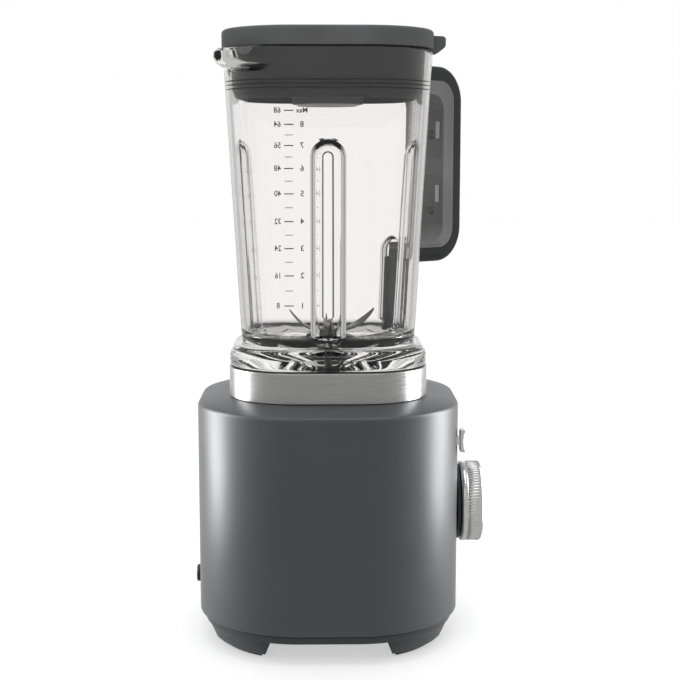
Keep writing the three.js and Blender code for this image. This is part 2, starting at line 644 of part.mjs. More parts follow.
const bladeBore = (z) => disc(shaftRadius + gap, z - 3, z + 5, 20);
function bladePlate(z, arms) {
  const hub = disc(12, z, z + 1.6, 24);
  return joinAll(hub, ...arms).subtract(bladeBore(z));
}

const bladeGroup = addGroup(blender);
const lowBlade = 206.3;
const sag = (t) => -1.6 * t * t;
addPart(bladeGroup, "lower_blade", bladePlate(lowBlade, [
  bladeArm(31, 15, 3, 1.6, lowBlade, sag, 38), bladeArm(31, 15, 3, 1.6, lowBlade, sag, 218),
]), "steel");
const midRise = (t) => 11 * Math.max(0, (t - 0.48) / 0.52) ** 1.6;
addPart(bladeGroup, "middle_blade", bladePlate(lowBlade + 2, [
  bladeArm(24, 13, 1.5, 1.6, lowBlade + 2, midRise, 4),
  bladeArm(24, 13, 1.5, 1.6, lowBlade + 2, midRise, 184),
]), "steel");
const highRise = (t) => 15 * t ** 2.2;
addPart(bladeGroup, "upper_blade", bladePlate(lowBlade + 4, [
  bladeArm(33, 14, 1.5, 1.6, lowBlade + 4, highRise, 276),
  bladeArm(27, 14, 1.5, 1.6, lowBlade + 4, highRise, 96),
]), "steel");
const nutLow = lowBlade + 6;
addPart(bladeGroup, "blade_nut", turned([
  [0, nutLow], [6, nutLow], [6, nutLow + 3], [4, nutLow + 5], [0, nutLow + 5.6],
], 12), "steel");
addPart(bladeGroup, "blade_spindle", disc(shaftRadius, 187, nutLow - gap, 20), "steel");
const jugCoupler = disc(17.5, 173, 188.2, 32)
  .subtract(star(coupling.radius + 0.6, coupling.lobe, 172, 184))
  .subtract(disc(shaftRadius + gap, 186.5, 190, 20));
addPart(bladeGroup, "jug_coupler", jugCoupler, "blackPlastic");

// ---- Lid ----------------------------------------------------------------------------------------

function lidCover() {
  const { half, corner, bottom, top, skin, neck, neckWall } = lid;
  const slab = tower([
    [bottom, half - 0.5, corner - 0.5], [bottom + 0.7, half, corner], [top - 2.4, half, corner],
    [top - 0.8, half - 0.7, corner - 0.7], [top, half - 2.2, corner - 2.2],
  ]);
  const hollow = post(bottom - 1, top - skin, half - skin, corner - skin);
  const neckTube = disc(neck, plug.low - 2.6, top - skin + 1, 24).add(disc(33, top - 5.5, top - 2, 24));
  const tabPlan = new THREE.Shape();
  tabPlan.moveTo(-68, bottom - 0.4);
  const tabEdge = [
    [-72.5, bottom - 0.4], [-78.4, bottom + 3.6], [-78.4, bottom + 8], [-77.2, bottom + 9.1],
    [-68, bottom + 9.1],
  ];
  tabEdge.forEach(([y, z]) => tabPlan.lineTo(y, z));
  const tabGeometry = new THREE.ExtrudeGeometry(tabPlan, { depth: 40, bevelEnabled: false });
  tabGeometry.rotateX(quarter).rotateZ(quarter).translate(-20, 0, 0);
  const flap = block(76.2, 78.9, -8.3, 8.3, bottom - 7.6, bottom + 2, 0.75 * Math.PI);
  return joinAll(slab.subtract(hollow), neckTube, solidFrom(tabGeometry), flap)
    .subtract(disc(neck - neckWall, plug.low - 4, top + 1, 24))
    .subtract(disc(cap.flange + gap, top - 1.9, top + 1, 24));
}

function plugSection(z, inset = 0) {
  return [z, jugHalf(z) - jug.wall - 0.8 - inset, jugCorner(z) - jug.wall - 0.8 - inset];
}

function lidPlug() {
  const { low, wall, sealLow, sealHigh } = plug;
  const top = lid.top - lid.skin - gap;
  const outer = tower([
    plugSection(low, 2.2), plugSection(low + 2.5, 0.9), plugSection(sealLow - gap, 0.9),
    plugSection(sealLow - gap + 0.01, 2.2), plugSection(sealHigh + gap, 2.2),
    plugSection(sealHigh + gap + 0.01, 0.3), plugSection(jug.rim, 0.3),
    [top, jugHalf(jug.rim) - jug.wall - 1.1, jugCorner(jug.rim) - jug.wall - 1.1],
  ]);
  const inner = tower([
    plugSection(low - 1, 2.2 + wall), plugSection(jug.rim, 1.5 + wall), plugSection(top + 1, 1.5 + wall),
  ]);
  return outer.subtract(inner);
}

function lidSeal() {
  const rib = 0.9;
  const sections = [plugSection(plug.sealLow, 0.4)];
  for (const z of plug.seals) {
    sections.push(plugSection(z - rib, 0.4), plugSection(z, -0.5), plugSection(z + rib, 0.4));
  }
  sections.push(plugSection(plug.sealHigh, 0.4));
  const bore = tower([plugSection(plug.sealLow - 1, 1.9), plugSection(plug.sealHigh + 1, 1.9)]);
  return tower(sections).subtract(bore);
}

const lidGroup = addGroup(blender);
addPart(lidGroup, "lid_cover", lidCover(), "darkPlastic");
addPart(lidGroup, "lid_plug", lidPlug(), "blackPlastic");
addPart(lidGroup, "lid_seal", lidSeal(), "rubber");

const capGroup = addGroup(blender);
const capLow = lid.top - 1.9 + gap;
addPart(capGroup, "ingredient_cap", turned([
  [0, cap.top - 2], [cap.radius - cap.wall, cap.top - 2], [cap.radius - cap.wall, cap.low],
  [cap.radius, cap.low], [cap.radius, capLow], [cap.flange, capLow], [cap.flange, cap.top - 1],
  [cap.flange - 1, cap.top], [0, cap.top],
], 24), "darkPlastic");
const capRim = sleeve(cap.radius - cap.wall, cap.radius, cap.rimLow, cap.low - gap, 24);
addPart(capGroup, "cap_rim", capRim, "clear");

// ---- Placing: the origin is the middle of the footprint, on the floor ---------------------------

blender.updateMatrixWorld(true);
const box = new THREE.Box3().setFromObject(blender, true);
const middle = box.getCenter(new THREE.Vector3());
blender.position.set(-middle.x, -middle.y, -box.min.z);
blender.updateMatrixWorld(true);

export default blender;
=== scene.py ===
import json
import math

import bmesh
import bpy
from mathutils import Matrix, Vector

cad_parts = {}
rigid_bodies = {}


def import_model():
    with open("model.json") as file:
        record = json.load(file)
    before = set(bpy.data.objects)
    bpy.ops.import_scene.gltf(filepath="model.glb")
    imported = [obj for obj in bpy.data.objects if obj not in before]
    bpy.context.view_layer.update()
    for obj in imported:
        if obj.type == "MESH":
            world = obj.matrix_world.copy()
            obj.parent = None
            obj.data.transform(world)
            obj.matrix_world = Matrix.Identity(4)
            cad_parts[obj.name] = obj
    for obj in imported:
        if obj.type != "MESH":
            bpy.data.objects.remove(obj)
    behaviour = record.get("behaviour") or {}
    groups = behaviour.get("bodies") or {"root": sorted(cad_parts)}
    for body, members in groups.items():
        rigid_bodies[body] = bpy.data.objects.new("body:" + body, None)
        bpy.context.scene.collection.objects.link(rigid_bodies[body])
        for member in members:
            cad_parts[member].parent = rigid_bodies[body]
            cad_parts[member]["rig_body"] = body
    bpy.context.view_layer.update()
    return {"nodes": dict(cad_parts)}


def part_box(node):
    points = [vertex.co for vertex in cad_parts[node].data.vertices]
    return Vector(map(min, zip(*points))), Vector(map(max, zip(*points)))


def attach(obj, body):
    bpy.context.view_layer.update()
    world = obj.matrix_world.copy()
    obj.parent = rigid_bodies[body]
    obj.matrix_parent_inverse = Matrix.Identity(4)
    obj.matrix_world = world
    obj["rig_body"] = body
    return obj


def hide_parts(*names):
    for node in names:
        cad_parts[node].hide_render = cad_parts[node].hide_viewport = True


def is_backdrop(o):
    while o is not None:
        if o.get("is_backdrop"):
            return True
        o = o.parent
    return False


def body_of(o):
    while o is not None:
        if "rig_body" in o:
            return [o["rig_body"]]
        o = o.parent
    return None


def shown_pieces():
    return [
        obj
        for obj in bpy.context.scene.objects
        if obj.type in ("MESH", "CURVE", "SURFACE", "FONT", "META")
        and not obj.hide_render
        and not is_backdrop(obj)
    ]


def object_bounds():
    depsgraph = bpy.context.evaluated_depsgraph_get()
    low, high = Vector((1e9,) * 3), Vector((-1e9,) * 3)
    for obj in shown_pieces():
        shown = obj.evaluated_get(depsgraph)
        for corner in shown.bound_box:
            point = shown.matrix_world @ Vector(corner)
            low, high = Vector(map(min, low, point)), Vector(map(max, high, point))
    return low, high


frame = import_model()
nodes = frame["nodes"]

metres = 0.001  # every piece is modelled in millimetres round the drive shaft
shaftLow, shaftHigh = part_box("motor_shaft")
axle = (shaftLow + shaftHigh) / 2
shown = bpy.context.scene.collection.objects


def span(node):
    # a node's lowest and highest corners in millimetres from the shaft, heights from the floor
    shift = Vector((axle.x, axle.y, 0))
    low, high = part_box(node)
    return (low - shift) / metres, (high - shift) / metres


def facing(x, y, z, turn, axis):
    return Matrix.Translation((x, y, z)) @ Matrix.Rotation(math.radians(turn), 4, axis)


finishes = {}  # every finish by its name


class Value:
    # a shader socket that can be added and multiplied
    def __init__(self, graph, socket):
        self.graph = graph
        self.socket = socket

    def math(self, operation, other):
        return self.graph.node("ShaderNodeMath", {"operation": operation}, {0: self, 1: other})

    def __add__(self, other):
        return self.math("ADD", other)

    def __mul__(self, other):
        return self.math("MULTIPLY", other)

    __radd__ = __add__
    __rmul__ = __mul__


class Graph:
    def __init__(self, tree):
        self.tree = tree

    def node(self, kind, settings=None, inputs=None, out=0):
        made = self.tree.nodes.new(kind)
        for name, value in (settings or {}).items():
            setattr(made, name, value)
        for socket, value in (inputs or {}).items():
            if isinstance(value, Value):
                self.tree.links.new(value.socket, made.inputs[socket])
            elif value is not None:
                made.inputs[socket].default_value = value
        return Value(self, made.outputs[out])


class Coat(Graph):
    def __init__(self, name, **fixed):
        self.material = finishes[name] = bpy.data.materials.new(name)
        self.material.use_nodes = True
        super().__init__(self.material.node_tree)
        self.shader = self.tree.nodes["Principled BSDF"]
        for socket, value in fixed.items():
            self.shader.inputs[socket.replace("_", " ")].default_value = value
        self.place = self.node("ShaderNodeTexCoord", out="Object")

    def noise(self, size, detail=3.0, stretch=(1, 1, 1)):
        # size is the width of a speck in millimetres
        spread = self.node("ShaderNodeMapping", {}, {"Vector": self.place, "Scale": stretch})
        return self.node("ShaderNodeTexNoise", {}, {
            "Vector": spread, "Scale": 1000 / size, "Detail": detail})

    def blend(self, mask, first, second):
        return self.node("ShaderNodeMix", {"data_type": "RGBA"}, {
            "Factor": mask, 6: (*first, 1) if isinstance(first, tuple) else first,
            7: (*second, 1) if isinstance(second, tuple) else second}, out=2)

    def wear(self, value, low, high):
        return self.node("ShaderNodeMapRange", {"interpolation_type": "SMOOTHSTEP"}, {
            "Value": value, "From Min": low, "From Max": high})

    def give(self, socket, value):
        self.tree.links.new(value.socket, self.shader.inputs[socket])

    def emboss(self, height, depth, strength=1.0):
        bump = self.node("ShaderNodeBump", {}, {
            "Height": height, "Distance": depth * metres, "Strength": strength})
        self.give("Normal", bump)


def moulded(name, colour, rough, grain=0.35, depth=0.03, gloss=0.5, shade=0.8):
    # a moulded or painted surface: fine grain, faint cloudiness, a little dust in the roughness
    coat = Coat(name, Specular_IOR_Level=gloss)
    clouds = coat.noise(38, 2)
    specks = coat.noise(grain, 4)
    dark = tuple(part * shade for part in colour)
    tone = coat.wear(clouds * 0.7 + specks * 0.3, 0.35, 0.65)
    coat.give("Base Color", coat.blend(tone, dark, colour))
    coat.give("Roughness", clouds * 0.08 + specks * 0.10 + (rough - 0.09))
    coat.emboss(specks, depth)


def brushed(name, colour, rough, stretch, depth=0.02, grain=0.5, shade=0.86):
    # metal with fine lines drawn out along the axes where stretch is small
    coat = Coat(name, Metallic=1.0)
    lines = coat.noise(grain, 5, stretch)
    smears = coat.noise(26, 2)
    dark = tuple(part * shade for part in colour)
    coat.give("Base Color", coat.blend(coat.wear(lines, 0.3, 0.7), dark, colour))
    coat.give("Roughness", lines * 0.12 + smears * 0.10 + (rough - 0.11))
    coat.emboss(lines, depth)


def banded(name, colour, gap, pitch, rough, metallic, depth, axis="Z"):
    # stacked sheets or wound wire: lines at an even pitch across one axis
    coat = Coat(name, Metallic=metallic)
    bands = coat.node("ShaderNodeTexWave", {"bands_direction": axis, "wave_profile": "SIN"}, {
        "Vector": coat.place, "Scale": 1 / (pitch * metres) * 0.157, "Distortion": 0.15,
        "Detail": 1.0}, out=1)
    specks = coat.noise(1.5, 3)
    coat.give("Base Color", coat.blend(coat.wear(bands * 0.8 + specks * 0.2, 0.1, 0.6), gap, colour))
    coat.give("Roughness", specks * 0.2 + (rough - 0.1))
    coat.emboss(bands, depth)


def clearPlastic(name, tint, rough, clear=1.0):
    coat = Coat(name, Transmission_Weight=clear, IOR=1.5)
    haze = coat.noise(30, 2)
    cool = tuple(min(1, part * 1.01) for part in tint)
    coat.give("Base Color", coat.blend(haze, tint, cool))
    coat.give("Roughness", coat.wear(haze, 0.55, 0.8) * 0.03 + rough)
    coat.emboss(coat.noise(14, 1), 0.02, 0.25)


def circuitBoard(name):
    coat = Coat(name, Specular_IOR_Level=0.6)
    tracks = coat.node("ShaderNodeTexBrick", {"offset": 0.37, "squash": 0.6}, {
        "Vector": coat.node("ShaderNodeMapping", {}, {"Vector": coat.place, "Rotation": (1.5708, 0, 0)}),
        "Scale": 90.0, "Mortar Size": 0.035, "Color1": (0, 0, 0, 1), "Color2": (0, 0, 0, 1),
        "Mortar": (1, 1, 1, 1)}, out=1)
    clouds = coat.noise(9, 3)
    green = coat.blend(clouds, (0.01, 0.07, 0.025), (0.02, 0.13, 0.045))
    coat.give("Base Color", coat.blend(tracks, green, (0.05, 0.22, 0.08)))
    coat.give("Roughness", clouds * 0.2 + 0.25)
    coat.emboss(tracks, 0.06)


moulded("slate paint", (0.056, 0.06, 0.067), 0.4, 0.3, 0.01, 0.8, 0.9)
moulded("slate plastic", (0.036, 0.038, 0.042), 0.45, 0.4)
moulded("graphite plastic", (0.165, 0.167, 0.17), 0.6, 0.5, 0.02, 0.25)
moulded("graphite dark", (0.05, 0.051, 0.053), 0.5, 0.5, 0.02, 0.3)
moulded("handle grey", (0.34, 0.34, 0.34), 0.5, 0.6, 0.02, 0.3)
moulded("black plastic", (0.012, 0.012, 0.013), 0.42, 0.5)
moulded("black rubber", (0.009, 0.009, 0.009), 0.72, 0.8, 0.08)
moulded("carbon", (0.02, 0.02, 0.021), 0.6, 0.25, 0.05)
moulded("print", (0.008, 0.008, 0.008), 0.6, 0.3, 0.004)
# painted light: a pale finish for the blocks that stand for the white backdrop seen through the handle's open
# slots
moulded("painted see-through light", (0.8, 0.8, 0.8), 0.35, shade=0.95)
brushed("satin silver", (0.46, 0.46, 0.455), 0.3, (0.03, 0.03, 1))
brushed("bright chrome", (0.78, 0.78, 0.77), 0.17, (0.2, 1, 0.2), 0.004)
brushed("blade steel", (0.17, 0.17, 0.168), 0.24, (0.15, 0.15, 1), 0.01)
brushed("bearing steel", (0.55, 0.55, 0.54), 0.25, (0.1, 0.1, 1), 0.01)
brushed("cast aluminium", (0.5, 0.5, 0.49), 0.5, (1, 1, 1), 0.12, 0.9)
banded("motor laminations", (0.22, 0.22, 0.23), (0.03, 0.03, 0.035), 1.0, 0.45, 0.9, 0.15)
banded("copper winding", (0.55, 0.22, 0.08), (0.12, 0.04, 0.015), 1.1, 0.35, 0.9, 0.35, "Y")
circuitBoard("circuit board")
clearPlastic("clear jug", (0.972, 0.968, 0.96), 0.0)
clearPlastic("clear rim", (0.95, 0.95, 0.94), 0.02, 0.3)
print("finishes made:", len(finishes))


def squareLoop(bm, z, half, corner, steps):
    # a rounded square: a circle whose quarters are moved apart; half equal to corner leaves a circle
    made = bmesh.ops.create_circle(
        bm, cap_ends=False, segments=4 * steps, radius=corner,
        matrix=facing(0, 0, z, 45 / steps, "Z"))
    for vert in made["verts"]:
        vert.co.x += math.copysign(half - corner, vert.co.x)
        vert.co.y += math.copysign(half - corner, vert.co.y)
    return list({edge for vert in made["verts"] for edge in vert.link_edges})


def faceOutwards(bm):
    bmesh.ops.recalc_face_normals(bm, faces=bm.faces)


def joinLoops(bm, loops, closed):
    for lower, upper in zip(loops, loops[1:] + loops[:1] if closed else loops[1:]):
        bmesh.ops.bridge_loops(bm, edges=lower + upper)
    if not closed:
        for loop in (loops[0], loops[-1]):
            bmesh.ops.edgeloop_fill(bm, edges=loop)


def shell(bm, levels, steps=20, closed=False):
    joinLoops(bm, [squareLoop(bm, *level, steps) for level in levels], closed)


def lathe(bm, outline, steps=96, closed=False):
    verts = [bm.verts.new((radius, 0, z)) for radius, z in outline]
    pairs = list(zip(verts, verts[1:])) + ([(verts[-1], verts[0])] if closed else [])
    edges = [bm.edges.new(pair) for pair in pairs]
    bmesh.ops.spin(
        bm, geom=verts + edges, cent=(0, 0, 0), axis=(0, 0, 1), angle=2 * math.pi, steps=steps,
        use_merge=True)


def roundOff(bm, edges, width, segments):
    bmesh.ops.bevel(
        bm, geom=edges, offset=width, offset_type="OFFSET", segments=segments, profile=0.5,
        affect="EDGES", material=-1, clamp_overlap=True)


def soften(bm, width, above=40, segments=3):
    steep = math.radians(above)
    edges = [edge for edge in bm.edges if edge.is_manifold and edge.calc_face_angle(0) > steep]
    roundOff(bm, edges, width, segments)


def cutAlong(bm, point, normal, faces=None, clear=False):
    # a straight cut through the whole piece or some faces of it; clear throws away what is behind the plane
    around = {item for face in faces for item in (*face.verts, *face.edges)} if faces else ()
    bmesh.ops.bisect_plane(
        bm, geom=faces + list(around) if faces else bm.verts[:] + bm.edges[:] + bm.faces[:], dist=0.01,
        plane_co=point, plane_no=normal, clear_inner=clear)


def sink(bm, faces, rim, deep):
    bmesh.ops.inset_region(
        bm, faces=faces, thickness=rim, depth=-deep, use_boundary=True, use_even_offset=True)


def block(bm, place, *sizes):
    bmesh.ops.create_cube(bm, size=1, matrix=place @ Matrix.Diagonal((*sizes, 1)))


def addMesh(bm, part, turn=None):
    holder = bpy.data.meshes.new("part")
    part.to_mesh(holder)
    if turn:
        holder.transform(turn)
    bm.from_mesh(holder)
    bpy.data.meshes.remove(holder)


def squares(outline, shift):
    # the corner radius stays the same amount smaller than the half width
    return [(z, wide, wide - shift) for z, wide in outline]


# plans drawn in two directions: x and z with depth along y, and y and z with depth along x
upright = Matrix(((1, 0, 0, 0), (0, 0, 1, 0), (0, 1, 0, 0), (0, 0, 0, 1)))
endOn = Matrix(((0, 0, 1, 0), (1, 0, 0, 0), (0, 1, 0, 0), (0, 0, 0, 1)))


def slab(bm, outline, low, high, place):
    # a plate cut to an outline of few points; place turns its plan into the piece's own frame
    face = bm.faces.new([bm.verts.new(place @ Vector((a, b, low))) for a, b in outline])
    grown = bmesh.ops.extrude_face_region(bm, geom=[face], use_keep_orig=True)["geom"]
    verts = [item for item in grown if isinstance(item, bmesh.types.BMVert)]
    bmesh.ops.translate(bm, verts=verts, vec=place.to_3x3() @ Vector((0, 0, high - low)))


def finish(name, bm, body, coats, slotName, *standsFor, turn=None, sharp=35):
    bmesh.ops.remove_doubles(bm, verts=bm.verts, dist=0.003)
    faceOutwards(bm)
    for face in bm.faces:
        face.smooth = True
    for edge in bm.edges:
        edge.smooth = edge.calc_face_angle(0) < math.radians(sharp)
    if turn:
        bmesh.ops.transform(bm, matrix=turn, verts=bm.verts)
    bmesh.ops.scale(bm, vec=(metres, metres, metres), verts=bm.verts)
    bmesh.ops.translate(bm, vec=(axle.x, axle.y, 0), verts=bm.verts)
    mesh = bpy.data.meshes.new(name)
    bm.to_mesh(mesh)
    bm.free()
    for coat in coats:
        mesh.materials.append(finishes[coat])
    piece = bpy.data.objects.new(name, mesh)
    shown.link(piece)
    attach(piece, body)
    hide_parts(*standsFor)


def arc(centreHalf, centreZ, radius, start, stop, steps):
    # points of a rounded edge as (z, change of half)
    turns = [math.radians(start + (stop - start) * step / steps) for step in range(steps + 1)]
    return [(centreZ + radius * math.sin(turn), centreHalf + radius * math.cos(turn)) for turn in turns]


housing = {"corner": 69.5, "wall": 2.5, "edge": 3.2, "deckHole": 34, "deckCorner": 45.3, "deckHalf": 68,
           "deckDrop": 4, "paddleX": 30, "pocketWide": 6.6, "pocketLow": 127.8, "pocketHigh": 147.4,
           "pocketDeep": 5.2}


def buildHousing():
    low, high = span("base_housing")
    half = high.x
    offset = half - housing["corner"]
    bm = bmesh.new()
    rim = high.z - housing["deckDrop"]
    edge = housing["edge"]
    levels = [(low.z, half - 0.9), (low.z + 0.25, half - 0.35), (low.z + 0.8, half)]
    levels += arc(half - edge, rim - edge, edge, 0, 76, 6)
    outer = squares(levels, offset)
    hole, below, inside = housing["deckHole"], high.z - housing["wall"], half - housing["wall"]
    deck = [(high.z, housing["deckHalf"], housing["deckCorner"]), (high.z, hole, hole)]
    lower = [(below, hole, hole), (below, housing["deckHalf"] - 2, housing["deckCorner"] - 1.8),
             (rim - 2 * edge, inside, inside - offset), (low.z, inside, inside - offset)]
    shell(bm, outer + deck + lower, steps=28, closed=True)
    for side in (-1, 1):
        cutPocket(bm, side * housing["paddleX"], half)
    coats = ["slate paint", "graphite dark"]
    finish("base_housing_shell", bm, "base", coats, "housing_grey", "base_housing")


def cutPocket(bm, x, half):
    # the recess behind a flick switch: the wall is cut to a rectangle, which is sunk and its rim softened
    wide = housing["pocketWide"]
    low, high = housing["pocketLow"], housing["pocketHigh"]

    def onFront(face):
        centre = face.calc_center_median()
        return centre.y < -half + 9 and abs(centre.x) < 60 and face.normal.y < -0.5

    bm.normal_update()
    faceOutwards(bm)
    for across in (x - wide, x + wide):
        cutAlong(bm, (across, 0, 0), (1, 0, 0), [face for face in bm.faces if onFront(face)])
    for z in (low, high):
        cutAlong(bm, (0, 0, z), (0, 0, 1), [face for face in bm.faces if onFront(face)])
    inner = [face for face in bm.faces if onFront(face)
             and abs(face.calc_center_median().x - x) < wide and low < face.calc_center_median().z < high]
    for rim, deep in ((0.7, 0.25), (0.3, 0.7), (0.5, housing["pocketDeep"])):
        sink(bm, inner, rim, deep)
    for face in inner:
        face.material_index = 1


buildHousing()

under = {"top": 86.6, "waist": 85.2, "floorHalf": 79.2, "lean": 5, "cornerShift": 19.5, "thick": 9,
         "gapTop": 38.5, "gapFloor": 43, "vents": 12}


def buildBottom():
    low, high = span("bottom_cover")
    shift = under["cornerShift"]
    plateLow = high.z - 6
    bm = bmesh.new()
    waist = under["waist"]
    levels = [(plateLow, waist - 3), (plateLow, waist - 0.8), (plateLow + 0.8, waist),
              (high.z - 0.8, under["top"]), (high.z, under["top"] - 0.7)]
    shell(bm, squares(levels, shift), steps=24)
    for turn in range(under["vents"]):
        ventAt = facing(0, 0, 0, 360 * turn / under["vents"], "Z")
        slab(bm, [(18, -1.4), (32, -1.9), (32, 1.9), (18, 1.4)], plateLow - 0.25, plateLow + 0.2, ventAt)
    # one foot is the skirt cut by the two leaning gap planes, then turned to each corner
    foot = bmesh.new()
    floorHalf, rise, thick = under["floorHalf"], plateLow + 0.4, under["thick"]
    leaned = floorHalf + under["lean"]
    outline = [(low.z, floorHalf + 0.2), (low.z + 1, floorHalf + 1.2), (rise, leaned), (rise, leaned - thick),
               (low.z, floorHalf + 1 - thick)]
    shell(foot, squares(outline, shift), steps=24, closed=True)
    slope = (under["gapFloor"] - under["gapTop"]) / plateLow
    for normal in ((1, 0, slope), (0, 1, slope)):
        cutAlong(foot, (under["gapFloor"], under["gapFloor"], 0), normal, clear=True)
    bmesh.ops.holes_fill(foot, edges=[edge for edge in foot.edges if edge.is_boundary], sides=0)
    faceOutwards(foot)
    soften(foot, 0.9, 50, 2)
    for quarter in range(4):
        addMesh(bm, foot, facing(0, 0, 0, 90 * quarter, "Z"))
    foot.free()
    finish("bottom_shell", bm, "base", ["slate plastic"], "dark_grey", "bottom_cover")
    for number in range(1, 5):
        buildFootPad(f"foot_pad_{number}")


def buildFootPad(node):
    # a rubber pad that follows the corner of the skirt
    low, high = span(node)
    bm = bmesh.new()
    reach = max(abs(low.x), abs(high.x))
    inner = reach - under["thick"] + 1.5
    outline = [(high.z + 0.2, reach), (0.5, reach), (0, reach - 0.6), (0, inner), (high.z + 0.2, inner)]
    shell(bm, squares(outline, under["cornerShift"]), steps=16, closed=True)
    middle = (low + high) / 2
    for axis in (Vector((1, 0, 0)), Vector((0, 1, 0))):
        side = math.copysign(1, middle.dot(axis))
        cutAlong(bm, axis * side * (under["gapFloor"] + 1.5), axis * side, clear=True)
    bmesh.ops.holes_fill(bm, edges=[edge for edge in bm.edges if edge.is_boundary], sides=0)
    finish(f"rubber_{node}", bm, "base", ["black rubber"], "black_rubber", node)


buildBottom()

collar = {"corner": 22.7, "wall": 2.6, "edge": 1.0, "airGap": 0.15, "seatHole": 28.2}


def buildCollar():
    low, high = span("collar_ring")
    half = high.x
    edge = collar["edge"]
    levels = [(low.z - 0.2, half - 0.7), (low.z + 0.4, half)]
    levels += arc(half - edge, high.z - edge, edge, 0, 90, 4)
    levels += [(high.z, half - collar["wall"]), (low.z - 0.2, half - collar["wall"])]
    bm = bmesh.new()
    shell(bm, squares(levels, collar["corner"]), steps=28, closed=True)
    finish("collar_band", bm, "base", ["satin silver"], "satin_silver", "collar_ring")
    low, high = span("seat_pad")
    top = high.z - collar["airGap"]  # the thin film of air keeps the clear foot bright
    pad = [(low.z, high.x), (top - 1.2, high.x), (top - 0.3, high.x - 0.5), (top, high.x - 1.4)]
    bm = bmesh.new()
    hole = collar["seatHole"]
    bore = [(top, hole + 0.8, hole + 0.8), (top - 0.6, hole, hole), (low.z, hole, hole)]
    shell(bm, squares(pad, collar["corner"]) + bore, steps=24, closed=True)
    finish("rubber_seat", bm, "base", ["black rubber"], "black_rubber", "seat_pad")


buildCollar()
print("base made")

gland = {"flange": 6.0, "stands": 4.2, "hole": 2.6}


def buildGland():
    low, high = span("cord_gland")
    middle = (low + high) / 2
    bm = bmesh.new()
    wide, out, hole = gland["flange"], gland["stands"], gland["hole"]
    lathe(bm, [(0, -5.5), (5, -5.5), (5, 0.1), (wide, 0.1), (wide, out - 1), (wide - 0.3, out - 0.4),
               (wide - 1, out), (hole + 0.8, out), (hole, out - 0.7), (hole, 1), (hole - 0.8, 0.5),
               (0, 0.5)], 48)
    base = span("base_housing")[1].y
    finish("gland_bush", bm, "base", ["black plastic"], "black_plastic", "cord_gland",
           turn=facing(middle.x, base, middle.z, -90, "X"))


buildGland()

dial = {"rim": 28.0, "front": 18.5, "skirt": 28.2, "skirtLow": 3.4, "skirtTop": 7.9, "ridges": 84,
        "ridge": 0.32}


def buildDial():
    low, high = span("dial_knob")
    front = -span("base_housing")[1].x
    place = facing((low.x + high.x) / 2, front, (low.z + high.z) / 2, 90, "X")
    rim, face, skirt = dial["rim"], dial["front"], dial["skirt"]
    bottom, top = dial["skirtLow"], dial["skirtTop"]
    bm = bmesh.new()
    lathe(bm, [
        (0, bottom), (skirt - 0.8, bottom), (skirt, bottom + 0.8), (skirt, top - 0.5), (skirt - 0.4, top),
        (rim - 0.9, top + 0.25), (rim - 0.35, top + 0.7), (rim - 0.35, face - 1.5), (rim - 1.0, face - 0.5),
        (rim - 1.9, face - 0.1), (rim - 2.6, face - 0.1), (rim - 3.0, face - 0.7), (22, face - 1.0),
        (10, face - 0.9), (0, face - 0.85)], 4 * dial["ridges"])
    for vert in bm.verts:
        reach = math.hypot(vert.co.x, vert.co.y)
        if abs(reach - (rim - 0.35)) < 0.02 and vert.co.z > top + 0.5:
            wave = math.cos(dial["ridges"] * math.atan2(vert.co.y, vert.co.x))
            vert.co.xy *= (reach + dial["ridge"] * wave) / reach
    finish("dial_cap", bm, "dial", ["bright chrome"], "chrome", "dial_knob", turn=place, sharp=50)
    low, high = span("dial_pointer")
    bm = bmesh.new()
    block(bm, Matrix.Translation((low + high) / 2), *(high - low))
    soften(bm, 0.25, 40, 2)
    finish("dial_mark", bm, "dial", ["black plastic"], "black_plastic", "dial_pointer")
    bm = bmesh.new()
    wide = span("dial_bezel")[1].x
    edge = [(3.6, 0.3), (wide - 0.4, 0.3), (wide, 0.7), (wide, 2.6), (wide - 0.4, 3.0), (3.6, 3.0)]
    lathe(bm, edge, 96, closed=True)
    finish("dial_seat", bm, "base", ["black plastic"], "black_plastic", "dial_bezel", turn=place)


buildDial()

paddle = {"wide": 5.1, "scoop": 1.1}


def buildPaddle(node):
    # a small lever: a plate with a hollowed face and a lip top and bottom
    low, high = span(node)
    x = (low.x + high.x) / 2
    middle = (low.z + high.z) / 2
    tall = (high.z - low.z) / 2 - 0.1
    bm = bmesh.new()
    side = [(0.1, tall - 0.6), (0.5, tall), (3.6, tall - 0.6), (3.6, -tall + 0.6), (0.5, -tall),
            (0.1, -tall + 0.6), (1.1, -tall + 2.8), (paddle["scoop"] + 0.5, 0), (1.1, tall - 2.8)]
    side = [(low.y + y, z) for y, z in side]
    turned = Matrix.Translation((x, 0, middle)) @ endOn
    slab(bm, side, -paddle["wide"], paddle["wide"], turned)
    soften(bm, 0.35, 30, 2)
    slab(bm, [(low.y + 3.4, -3), (high.y, -2), (high.y, 2), (low.y + 3.4, 3)], -2, 2, turned)
    finish(f"{node}_lever", bm, node, ["bright chrome"], "chrome", node)


for node in ("start_paddle", "pulse_paddle"):
    buildPaddle(node)
print("controls made")

